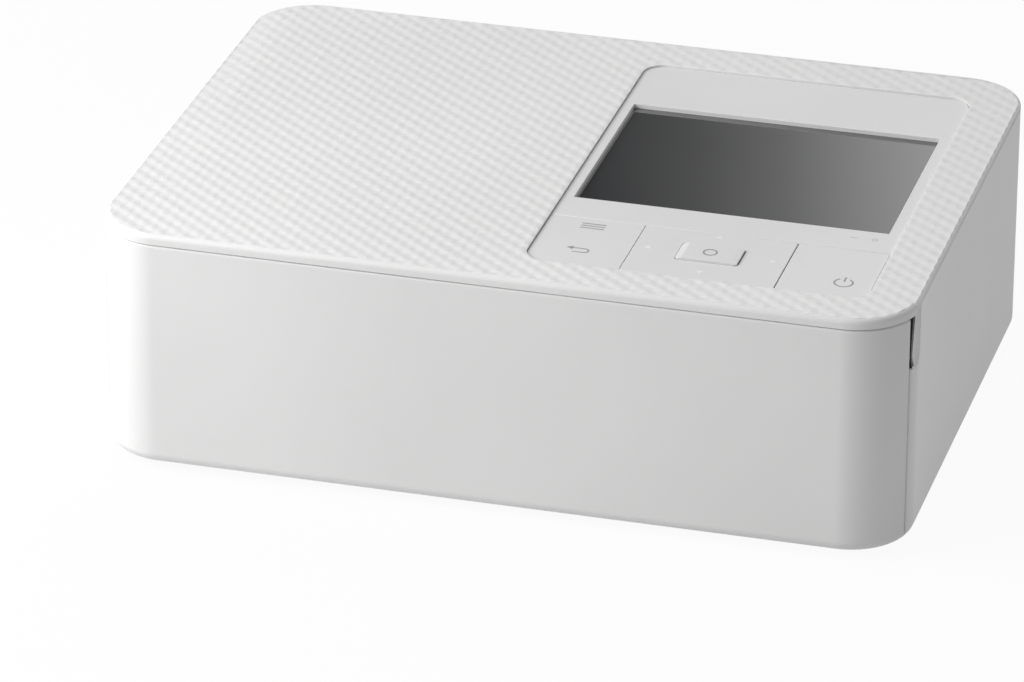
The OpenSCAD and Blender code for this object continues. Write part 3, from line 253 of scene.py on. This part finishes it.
def makeFloor(room):
    mat, tree = emptyMaterial("paperFloor")
    lit = tree.nodes.new("ShaderNodeBsdfDiffuse")
    lit.inputs["Color"].default_value = (room["floorTone"],) * 3 + (1,)
    white = tree.nodes.new("ShaderNodeEmission")
    white.inputs["Strength"].default_value = 1.0
    away = tree.nodes.new("ShaderNodeVectorMath")
    away.operation = "LENGTH"
    tree.links.new(objectCoords(tree), away.inputs[0])
    share = addRange(tree, away.outputs["Value"], room["floorWhite"], 1.0, room["fade"])
    addOutput(tree, rayMix(tree, lit, white, share))
    floor = makeSheet("floor", room["floorSize"], room["floorSize"], mat)


flag = {
    # a dark card behind the printer that only mirror rays see, graded from left to right
    "place": (-0.079, 0.439, 0.290), "aim": (0.0416, 0.0057, 0.056), "size": (0.46, 0.24),
    # share of its width, brightness
    "tones": [(0.0, 0.01), (0.40, 0.02), (0.50, 0.19), (0.56, 0.40), (0.61, 0.72), (0.66, 1.0)],
}


def makeFlag(sheet):
    mat, tree = emptyMaterial("flagCard")
    width, height = sheet["size"]
    across = splitAxes(tree, objectCoords(tree))["X"]
    across = addRange(tree, across, 0.0, 1.0, (-width / 2, width / 2))
    glow = tree.nodes.new("ShaderNodeEmission")
    tones = [(place, (tone,) * 3) for place, tone in sheet["tones"]]
    tree.links.new(addTones(tree, across, tones), glow.inputs["Color"])
    addOutput(tree, glow)
    card = makeSheet("flag", width, height, mat)
    placeAndAim(card, sheet, "Z")
    card.visible_camera = False
    card.visible_diffuse = False
    card.visible_shadow = False
    card.visible_transmission = False


makeCamera(photoCamera)
for lampName, lampSet in lamps.items():
    makeLamp(lampName, lampSet)
makeWorld(studio)
makeFloor(studio)
makeFlag(flag)
bpy.context.scene.view_settings.view_transform = "Standard"
print("camera, lamps, floor and flag ready")


# moulded plastics and rubbers: scales per metre, grain depth in metres
plasticNoise = {"swing": (0.35, 0.65), "cloudDetail": 2.0, "grainDetail": 5.0, "grainRough": 0.6}
plasticSets = {
    "satinWhite": {
        "dark": (0.715, 0.715, 0.712), "light": (0.745, 0.745, 0.742), "cloudScale": 14,
        "grainScale": 2600, "grainDepth": 0.000012, "smooth": 0.34, "rough": 0.44,
    },
    "panelWhite": {
        "dark": (0.700, 0.700, 0.700), "light": (0.722, 0.722, 0.721), "cloudScale": 25,
        "grainScale": 3200, "grainDepth": 0.000008, "smooth": 0.28, "rough": 0.36,
    },
    "baseWhite": {
        "dark": (0.60, 0.60, 0.597), "light": (0.64, 0.64, 0.637), "cloudScale": 20,
        "grainScale": 1800, "grainDepth": 0.00003, "smooth": 0.45, "rough": 0.58,
    },
    "innerGrey": {
        "dark": (0.055, 0.056, 0.058), "light": (0.075, 0.076, 0.078), "cloudScale": 30,
        "grainScale": 1500, "grainDepth": 0.00003, "smooth": 0.42, "rough": 0.58,
    },
    "blackPlastic": {
        "dark": (0.012, 0.012, 0.013), "light": (0.020, 0.020, 0.021), "cloudScale": 40,
        "grainScale": 1500, "grainDepth": 0.00003, "smooth": 0.38, "rough": 0.55,
    },
    "cartridgeGrey": {
        "dark": (0.16, 0.165, 0.17), "light": (0.20, 0.205, 0.21), "cloudScale": 35,
        "grainScale": 1600, "grainDepth": 0.00003, "smooth": 0.40, "rough": 0.52,
    },
    "leverBlue": {
        "dark": (0.04, 0.13, 0.30), "light": (0.05, 0.16, 0.35), "cloudScale": 60,
        "grainScale": 1800, "grainDepth": 0.00002, "smooth": 0.35, "rough": 0.48,
    },
    "gearPlastic": {
        "dark": (0.60, 0.58, 0.52), "light": (0.68, 0.66, 0.60), "cloudScale": 80,
        "grainScale": 1500, "grainDepth": 0.000015, "smooth": 0.34, "rough": 0.46,
    },
    "softRubber": {
        "dark": (0.022, 0.022, 0.022), "light": (0.035, 0.035, 0.035), "cloudScale": 120,
        "grainScale": 2500, "grainDepth": 0.00005, "smooth": 0.70, "rough": 0.88,
    },
    "greyRubber": {
        "dark": (0.23, 0.24, 0.25), "light": (0.28, 0.29, 0.30), "cloudScale": 120,
        "grainScale": 2500, "grainDepth": 0.00004, "smooth": 0.62, "rough": 0.78,
    },
    "ceramicWhite": {
        "dark": (0.66, 0.60, 0.50), "light": (0.74, 0.69, 0.60), "cloudScale": 150,
        "grainScale": 2500, "grainDepth": 0.000008, "smooth": 0.18, "rough": 0.30,
    },
    "markPale": {
        "dark": (0.80, 0.80, 0.80), "light": (0.84, 0.84, 0.84), "cloudScale": 300,
        "grainScale": 3000, "grainDepth": 0.000008, "smooth": 0.30, "rough": 0.40,
    },
    "markFaint": {
        "dark": (0.48, 0.48, 0.48), "light": (0.53, 0.53, 0.53), "cloudScale": 300,
        "grainScale": 3000, "grainDepth": 0.000008, "smooth": 0.40, "rough": 0.55,
    },
    "markGrey": {
        "dark": (0.27, 0.27, 0.275), "light": (0.31, 0.31, 0.315), "cloudScale": 300,
        "grainScale": 3000, "grainDepth": 0.000008, "smooth": 0.45, "rough": 0.60,
    },
}


def mouldedPlastic(name, look):
    mat, tree, shader = newMaterial(name)
    coords = objectCoords(tree)
    cloud = addNoise(tree, coords, look["cloudScale"], plasticNoise["cloudDetail"])
    setColour(tree, shader, cloud, look, plasticNoise["swing"])
    grain = addNoise(tree, coords, look["grainScale"], plasticNoise["grainDetail"],
                     plasticNoise["grainRough"])
    setRoughness(tree, shader, grain, look)
    setBump(tree, shader, grain, look["grainDepth"])
    return mat


# metals: brushed stretches the lines along the axis with the smallest number
metalNoise = {"cloudScale": 60.0, "cloudDetail": 3.0, "lineDetail": 4.0, "lineRough": 0.6}
metalSets = {
    "sheetSteel": {
        "dark": (0.50, 0.51, 0.52), "light": (0.60, 0.61, 0.62), "brushed": (1, 1, 1),
        "lineScale": 900, "lineDepth": 0.00001, "smooth": 0.28, "rough": 0.46,
    },
    "groundSteel": {
        "dark": (0.56, 0.56, 0.57), "light": (0.66, 0.66, 0.67), "brushed": (1, 12, 12),
        "lineScale": 400, "lineDepth": 0.000006, "smooth": 0.14, "rough": 0.26,
    },
    "motorCan": {
        "dark": (0.42, 0.42, 0.43), "light": (0.55, 0.55, 0.56), "brushed": (20, 1, 1),
        "lineScale": 300, "lineDepth": 0.00001, "smooth": 0.24, "rough": 0.38,
    },
    "brass": {
        "dark": (0.58, 0.40, 0.15), "light": (0.72, 0.52, 0.22), "brushed": (1, 12, 12),
        "lineScale": 400, "lineDepth": 0.00001, "smooth": 0.22, "rough": 0.34,
    },
    "aluminium": {
        "dark": (0.66, 0.67, 0.68), "light": (0.76, 0.77, 0.78), "brushed": (1, 14, 14),
        "lineScale": 350, "lineDepth": 0.00001, "smooth": 0.26, "rough": 0.42,
    },
}


def metal(name, look):
    mat, tree, shader = newMaterial(name)
    coords = objectCoords(tree)
    stretch = tree.nodes.new("ShaderNodeMapping")
    stretch.inputs["Scale"].default_value = look["brushed"]
    tree.links.new(coords, stretch.inputs["Vector"])
    lines = addNoise(tree, stretch.outputs["Vector"], look["lineScale"], metalNoise["lineDetail"],
                     metalNoise["lineRough"])
    cloud = addNoise(tree, coords, metalNoise["cloudScale"], metalNoise["cloudDetail"])
    setColour(tree, shader, cloud, look)
    setRoughness(tree, shader, lines, look)
    setBump(tree, shader, lines, look["lineDepth"])
    shader.inputs["Metallic"].default_value = 1.0
    return mat


finishes = {name: mouldedPlastic(name, look) for name, look in plasticSets.items()}
finishes.update({name: metal(name, look) for name, look in metalSets.items()})

reliefSet = {
    "acrossX": 5.18, "acrossY": 4.167,  # mm, one full diamond each way
    "depth": 0.00019,  # metres
    "middle": 0.5, "swing": 0.25,  # of the height, for each of the two crossing waves
    "ridges": 0.42,  # swing of the ridges that run front to back, as a share of the waves' own
    "stop": (0.94, 0.995),  # upward part of the normal over which the relief sets in
    "worn": (0.80, 1.15), "wornScale": 260.0,  # unevenness from place to place
    "base": {**plasticSets["satinWhite"], "grainScale": 1300, "grainDepth": 0.00003},
}


def reliefWhite(name, relief):
    # moulded diamonds on the flat of the top: two crossing waves and their ridges
    mat = mouldedPlastic(name, relief["base"])
    tree = mat.node_tree
    coords = tree.nodes.new("ShaderNodeTexCoord").outputs
    turn = 2 * math.pi / mm
    perX, perY = turn / relief["acrossX"], turn / relief["acrossY"]
    waves = [((perX, perY, 0), 1.0), ((perX, -perY, 0), 1.0), ((2 * perX, 0, 0), relief["ridges"])]
    height = relief["middle"]
    for slant, share in waves:
        along = tree.nodes.new("ShaderNodeVectorMath")
        along.operation = "DOT_PRODUCT"
        along.inputs[1].default_value = slant
        tree.links.new(coords["Object"], along.inputs[0])
        wave = addMath(tree, "COSINE", along.outputs["Value"])
        height = addMath(tree, "MULTIPLY_ADD", wave, share * relief["swing"], height)
    upward = splitAxes(tree, coords["Normal"])["Z"]
    patches = addNoise(tree, coords["Object"], relief["wornScale"])
    height = addMath(tree, "MULTIPLY", height, addRange(tree, upward, 0.0, 1.0, relief["stop"]))
    height = addMath(tree, "MULTIPLY", height, addRange(tree, patches, *relief["worn"]))
    setBump(tree, tree.nodes["Principled BSDF"], height, relief["depth"])
    return mat


finishes["reliefWhite"] = reliefWhite("reliefWhite", reliefSet)

glassSet = {
    "dark": (0.024, 0.025, 0.027), "light": (0.029, 0.030, 0.032), "cloudScale": 20,
    "smooth": 0.08, "rough": 0.14, "coatRough": 0.04, "ior": 1.85,
}


def darkGlass(name, look):
    mat, tree, shader = newMaterial(name)
    cloud = addNoise(tree, objectCoords(tree), look["cloudScale"], detail=2.0)
    setColour(tree, shader, cloud, look)
    setRoughness(tree, shader, cloud, look)
    shader.inputs["IOR"].default_value = look["ior"]
    shader.inputs["Coat Weight"].default_value = 1.0
    shader.inputs["Coat Roughness"].default_value = look["coatRough"]
    return mat


finishes["windowGlass"] = darkGlass("windowGlass", glassSet)

boardSet = {
    "mask": (0.010, 0.095, 0.045), "shade": 0.9,  # shade is the second mask tone's share
    "trace": (0.018, 0.15, 0.07), "traceScale": 420, "traceWidth": 0.012, "traceRise": 0.00002,
    "smooth": 0.3, "rough": 0.4,
}


def circuitBoard(name, look):
    mat, tree, shader = newMaterial(name)
    lanes = tree.nodes.new("ShaderNodeTexBrick")
    lanes.inputs["Scale"].default_value = look["traceScale"]
    lanes.inputs["Mortar Size"].default_value = look["traceWidth"]
    lanes.inputs["Color1"].default_value = (*look["mask"], 1)
    lanes.inputs["Color2"].default_value = (*[look["shade"] * part for part in look["mask"]], 1)
    lanes.inputs["Mortar"].default_value = (*look["trace"], 1)
    tree.links.new(objectCoords(tree), lanes.inputs["Vector"])
    tree.links.new(lanes.outputs["Color"], shader.inputs["Base Color"])
    setRoughness(tree, shader, lanes.outputs["Fac"], look, (0, 1))
    setBump(tree, shader, lanes.outputs["Fac"], look["traceRise"])
    return mat


finishes["circuitBoard"] = circuitBoard("circuitBoard", boardSet)

ribbonSet = {
    "film": (-0.020, 0.042),  # the stretch of Y in metres that the bands share
    "bands": [
        # start and end along that stretch, then the dye's colour
        (0.0, 0.34, (0.02, 0.22, 0.48)),
        (0.345, 0.67, (0.55, 0.03, 0.16)),
        (0.675, 1.0, (0.72, 0.50, 0.03)),
    ],
    "waveScale": 180.0, "waveDepth": 0.0001, "smooth": 0.16, "rough": 0.30,
}


def dyeRibbon(name, look):
    # bands of dye follow each other along the film
    mat, tree, shader = newMaterial(name)
    coords = objectCoords(tree)
    along = addRange(tree, splitAxes(tree, coords)["Y"], 0.0, 1.0, look["film"])
    tones = [(edge, dye) for start, end, dye in look["bands"] for edge in (start, end)]
    tree.links.new(addTones(tree, along, tones), shader.inputs["Base Color"])
    film = addNoise(tree, coords, look["waveScale"], detail=2.0)
    setRoughness(tree, shader, film, look)
    setBump(tree, shader, film, look["waveDepth"])
    return mat


finishes["dyeRibbon"] = dyeRibbon("dyeRibbon", ribbonSet)
print("materials ready:", len(finishes))

nodeFinish = {
    "satinWhite": ["side_case", "front_cover", "ink_door"],
    "reliefWhite": ["top_cover"],
    "panelWhite": ["panel_bezel", "menu_key", "nav_plate", "ok_key", "power_key"],
    "baseWhite": ["base_case"],
    "windowGlass": ["display_window"],
    "innerGrey": ["front_panel", "paper_guide_front", "paper_guide_rear"],
    "blackPlastic": ["dc_jack", "head_arm", "pickup_arm", "roller_bushes"],
    "cartridgeGrey": ["ink_cassette", "takeup_spool", "supply_spool"],
    "leverBlue": ["eject_lever"],
    "gearPlastic": ["capstan_gear", "reduction_gear", "takeup_spindle", "lift_gear", "nav_pivot"],
    "softRubber": ["rubber_feet", "platen_roller", "pickup_roller"],
    "greyRubber": ["key_mat"],
    "ceramicWhite": ["thermal_head"],
    "sheetSteel": ["frame_left", "frame_right", "motor_bracket", "card_slot", "usb_c_port",
                   "lcd_module", "case_screws"],
    "groundSteel": ["hinge_pins", "ink_door_pins", "tie_bars", "capstan_roller",
                    "pinch_roller", "head_shaft"],
    "motorCan": ["feed_motor", "ribbon_motor", "lift_motor"],
    "brass": ["motor_pinion", "ribbon_pinion"],
    "aluminium": ["heat_sink"],
    "circuitBoard": ["main_board", "io_board", "key_board"],
    "dyeRibbon": ["ink_ribbon"],
}
for finish, names in nodeFinish.items():
    for name in names:
        mesh = nodes[name].data
        mesh.materials.clear()
        mesh.materials.append(finishes[finish])
bare = sorted(set(nodes) - {name for names in nodeFinish.values() for name in names})
print("nodes left without a finish:", bare)


# softened copies of the shells and keys, all in mm
outline = {"corner": 14.4}  # the body seen from above
outline["halfWidth"], outline["halfDepth"] = [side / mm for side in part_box("top_cover")[1].xy]

edgeRules = {
    "merge": 0.001,  # points of the CAD mesh that are closer than this are joined
    "flat": 0.5,  # degrees, faces that turn less against each other become one
    "sharp": 34,  # degrees, edges that turn more are shaded hard
    "roll": 38,  # degrees, edges that turn more are rounded
    "slack": 0.02,  # how near a point counts as on a face
    "inner": 5,  # rims this far inside the outline belong to the panel's opening
    "low": 4.0,  # edges under this height stay as they are
}

keyEdge = {"finish": "panelWhite", "roll": 0.16, "steps": 3, "reach": None, "rim": True}
shellEdge = {"finish": "satinWhite", "roll": 0.22, "steps": 2, "reach": 0.4, "rim": False}
softSets = {
    # roll is the edge's rounding, reach how far inside the outline an edge may lie,
    # rim whether the top face's edges are rolled as well, bare a stretch of Y left sharp,
    # slope the soft border round the panel, nudge and lip the sides moved to set a visible gap,
    # and lift the low end of a slope that is raised
    "top_cover": {
        "body": "case", "finish": "reliefWhite", "roll": 0.35, "steps": 3, "reach": 0.4,
        "rim": True, "bare": (-58.2, -53.4), "low": 56.0,
        "slope": {"width": 1.0, "drop": 0.16}, "lip": {"under": 55.4, "shift": -0.12},
    },
    "front_cover": {**shellEdge, "body": "cover", "roll": 0.60, "steps": 4},
    "side_case": {
        **shellEdge, "body": "case",
        # the finger notch's deep end, painted black as painted shade: what lies beyond an X, before
        # a Y, between low and top, in front of a leaning plane through rear and high, and doesn't
        # look inward
        "dark": {
            "finish": "blackPlastic", "beyond": 84, "before": -40, "low": 43.0, "top": 55.39,
            "rear": -53.3, "high": 55.0, "lean": 0.11, "inward": 0.28,
        },
    },
    "ink_door": {**shellEdge, "body": "door"},
    "panel_bezel": {**keyEdge, "body": "case", "nudge": {"front": -0.08}},
    "menu_key": {**keyEdge, "body": "menu", "nudge": {"right": 0.06}},
    "nav_plate": {**keyEdge, "body": "nav", "nudge": {"left": -0.06}},
    "power_key": {**keyEdge, "body": "power", "nudge": {"right": -0.16}},
    "ok_key": {
        **keyEdge, "body": "ok", "roll": 0.14, "steps": 2, "nudge": {"left": -0.15, "front": -0.15},
        "lift": {"height": 57.0, "slack": 0.2, "rise": 0.36},
    },
}


def sidePlace(name, side):
    # the axis of a node's flat side and where it lies
    low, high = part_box(name)
    corner, axis = {"left": (low, 0), "right": (high, 0), "front": (low, 1)}[side]
    return axis, corner[axis] / mm


def moveFace(bm, axis, where, shift):
    for vert in bm.verts:
        if abs(vert.co[axis] / mm - where) < edgeRules["slack"]:
            vert.co[axis] += shift * mm


def liftEnd(bm, name, lift):
    # raises the low end of the slope on the right
    axis, where = sidePlace(name, "right")
    for vert in bm.verts:
        onSide = abs(vert.co[axis] / mm - where) < edgeRules["slack"]
        if onSide and abs(vert.co.z / mm - lift["height"]) < lift["slack"]:
            vert.co.z += lift["rise"] * mm


def insideOutline(place):
    # how far inside the body's rounded outline a point lies, seen from above
    across = abs(place.x) / mm - (outline["halfWidth"] - outline["corner"])
    along = abs(place.y) / mm - (outline["halfDepth"] - outline["corner"])
    if across > 0 and along > 0:
        return outline["corner"] - math.hypot(across, along)
    return outline["corner"] - max(across, along)


def onRim(edge, rim):
    return all(abs(vert.co.z / mm - rim) < edgeRules["slack"] for vert in edge.verts)


def rollsOver(edge, soft, rim):
    if not edge.is_manifold or edge.calc_face_angle(0) < math.radians(edgeRules["roll"]):
        return False
    ends = [vert.co for vert in edge.verts]
    if soft["rim"] and onRim(edge, rim):
        return soft["reach"] is None or min(map(insideOutline, ends)) > edgeRules["inner"]
    if soft["reach"] is None:
        return False
    if "bare" in soft and any(soft["bare"][0] < end.y / mm < soft["bare"][1] for end in ends):
        return False
    lowest = soft.get("low", edgeRules["low"])
    return all(insideOutline(end) < soft["reach"] and end.z / mm > lowest for end in ends)


def bevelEdges(bm, edges, width, steps):
    return bmesh.ops.bevel(bm, geom=edges, offset=width * mm, offset_type="OFFSET", segments=steps,
                           profile=0.5, affect="EDGES", clamp_overlap=False, material=-1)


def slopeBorder(bm, soft, rim):
    # the opening for the panel gets a wide shallow slope in place of its sharp rim
    slope = soft["slope"]
    edges = [edge for edge in bm.edges if rollsOver(edge, soft, rim) and onRim(edge, rim)]
    made = bevelEdges(bm, edges, slope["width"], 1)
    below = (rim - edgeRules["slack"]) * mm
    low = {vert for face in made["faces"] for vert in face.verts if vert.co.z < below}
    rise = (slope["width"] - slope["drop"]) * mm
    bmesh.ops.translate(bm, vec=(0, 0, rise), verts=list(low))


def paintNotchShade(bm, dark):
    # cuts the notch's end along a leaning plane and paints what lies in front of it black, as
    # painted shade
    near = []
    for face in bm.faces:
        place = face.calc_center_median() / mm
        if abs(place.x) > dark["beyond"] and place.y < dark["before"]:
            near.append(face)
    reached = set(near)
    parts = near + [edge for edge in bm.edges if reached.intersection(edge.link_faces)]
    parts += [vert for vert in bm.verts if reached.intersection(vert.link_faces)]
    bmesh.ops.bisect_plane(bm, geom=parts, plane_co=(0, dark["rear"] * mm, dark["high"] * mm),
                           plane_no=(0, 1, -dark["lean"]))
    for face in bm.faces:
        place = face.calc_center_median() / mm
        plane = dark["rear"] - dark["lean"] * (dark["high"] - place.z)
        inNotch = abs(place.x) > dark["beyond"] and dark["low"] < place.z < dark["top"]
        outward = face.normal.x * math.copysign(1, place.x)
        if inNotch and place.y < plane and outward > -dark["inward"]:
            face.material_index = 1


def softCopy(name, soft):
    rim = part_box(name)[1].z / mm  # height of the top face
    bm = bmesh.new()
    bm.from_mesh(nodes[name].data)
    bmesh.ops.remove_doubles(bm, verts=bm.verts, dist=edgeRules["merge"] * mm)
    bmesh.ops.dissolve_limit(bm, angle_limit=math.radians(edgeRules["flat"]), verts=bm.verts,
                             edges=bm.edges)
    for side, shift in soft.get("nudge", {}).items():
        moveFace(bm, *sidePlace(name, side), shift)
    if "lip" in soft:
        moveFace(bm, 2, soft["lip"]["under"], soft["lip"]["shift"])
    if "lift" in soft:
        liftEnd(bm, name, soft["lift"])
    if "slope" in soft:
        slopeBorder(bm, soft, rim)
    edges = [edge for edge in bm.edges if rollsOver(edge, soft, rim)]
    bevelEdges(bm, edges, soft["roll"], soft["steps"])
    bmesh.ops.recalc_face_normals(bm, faces=bm.faces)
    mats = [finishes[soft["finish"]]]
    # painted shade: the notch's end is painted with the black finish in a second slot
    if "dark" in soft:
        paintNotchShade(bm, soft["dark"])
        mats.append(finishes[soft["dark"]["finish"]])
    for face in bm.faces:
        face.smooth = True
    for edge in bm.edges:
        edge.smooth = edge.is_manifold and edge.calc_face_angle(0) < math.radians(edgeRules["sharp"])
    piece = makePiece(name + "Soft", bm, *mats)
    weighted = piece.modifiers.new("weighted", "WEIGHTED_NORMAL")
    weighted.keep_sharp = True
    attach(piece, soft["body"])
    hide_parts(name)
    return piece, len(edges)


for name, softSet in softSets.items():
    piece, count = softCopy(name, softSet)
    print("soft copy of", name, "with", count, "rolled edges,", len(piece.data.polygons), "faces")


# key marks, all of them plain symbols, in mm
marks = {"rise": 0.02, "arcStep": 9, "arcLeast": 12}  # height, degrees a step, fewest steps
markSets = {
    # on is the node that a mark is printed on; bar x, y, length, width, turn;
    # arc x, y, radius, width, start, sweep; dart x, y, size, turn
    "menuMark": {"body": "menu", "on": "menu_key", "shapes": [
        ("bar", 14.2, -33.4, 5.4, 0.42, 0), ("bar", 14.2, -34.5, 5.4, 0.42, 0),
        ("bar", 14.2, -35.6, 5.4, 0.42, 0)]},
    "backMark": {"body": "menu", "on": "menu_key", "shapes": [
        ("bar", 14.1, -46.15, 2.8, 0.40, 0), ("bar", 14.3, -48.05, 2.4, 0.40, 0),
        ("arc", 15.5, -47.1, 0.95, 0.40, -90, 180), ("dart", 12.3, -46.15, 0.95, 180)]},
    "navMarks": {"body": "nav", "on": "nav_plate", "finish": "markPale", "shapes": [
        ("dart", 42.1, -32.6, 0.9, 90), ("dart", 28.4, -41.4, 0.9, 180),
        ("dart", 56.0, -41.4, 0.9, 0), ("dart", 42.1, -50.6, 0.9, -90)]},
    "okMark": {"body": "ok", "on": "ok_key", "shapes": [
        ("arc", 42.2, -41.5, 1.45, 0.42, 0, 360)]},
    "powerMark": {"body": "power", "on": "power_key", "shapes": [
        ("arc", 73.1, -47.5, 2.0, 0.42, 122, 296), ("bar", 73.1, -45.9, 2.2, 0.42, 90)]},
    "lampMarks": {"body": "case", "on": "panel_bezel", "finish": "markFaint", "shapes": [
        ("bar", 70.2, -24.6, 1.6, 0.35, 0), ("arc", 74.8, -24.6, 0.55, 0.30, 0, 360)]},
}


def markShape(bm, shape):
    kind, x, y, *rest = shape
    centre = Vector((x * mm, y * mm, 0))
    if kind == "bar":
        length, width, turn = rest
        place = Matrix.Translation(centre) @ Matrix.Rotation(math.radians(turn), 4, "Z")
        stretch = Matrix.Diagonal((length * mm, width * mm, 1, 1))
        bmesh.ops.create_grid(bm, x_segments=1, y_segments=1, size=0.5, matrix=place @ stretch)
    elif kind == "dart":
        size, turn = rest
        # a three-sided circle points along Y at first
        place = Matrix.Translation(centre) @ Matrix.Rotation(math.radians(turn - 90), 4, "Z")
        bmesh.ops.create_circle(bm, cap_ends=True, segments=3, radius=size * mm, matrix=place)
    else:
        radius, width, start, sweep = rest
        aim = Matrix.Rotation(math.radians(start), 3, "Z") @ Vector((1, 0, 0))
        ends = [bm.verts.new(centre + aim * (radius + side * width / 2) * mm) for side in (-1, 1)]
        seed = bm.edges.new(ends)
        steps = max(marks["arcLeast"], int(sweep / marks["arcStep"]))
        bmesh.ops.spin(bm, geom=[*ends, seed], cent=centre, axis=(0, 0, 1),
                       angle=math.radians(sweep), steps=steps, use_merge=sweep == 360)


def makeMark(name, mark):
    # as thick below the key's face as it stands above
    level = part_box(mark["on"])[1].z
    bm = bmesh.new()
    for shape in mark["shapes"]:
        markShape(bm, shape)
    bmesh.ops.recalc_face_normals(bm, faces=bm.faces)
    raised = bmesh.ops.extrude_face_region(bm, geom=bm.faces[:], use_keep_orig=True)
    upper = [part for part in raised["geom"] if isinstance(part, bmesh.types.BMVert)]
    bmesh.ops.translate(bm, vec=(0, 0, 2 * marks["rise"] * mm), verts=upper)
    bmesh.ops.translate(bm, vec=(0, 0, level - marks["rise"] * mm), verts=bm.verts)
    bmesh.ops.recalc_face_normals(bm, faces=bm.faces)
    piece = makePiece(name, bm, finishes[mark.get("finish", "markGrey")])
    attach(piece, mark["body"])


for name, markSet in markSets.items():
    makeMark(name, markSet)
print("marks ready:", len(markSets))
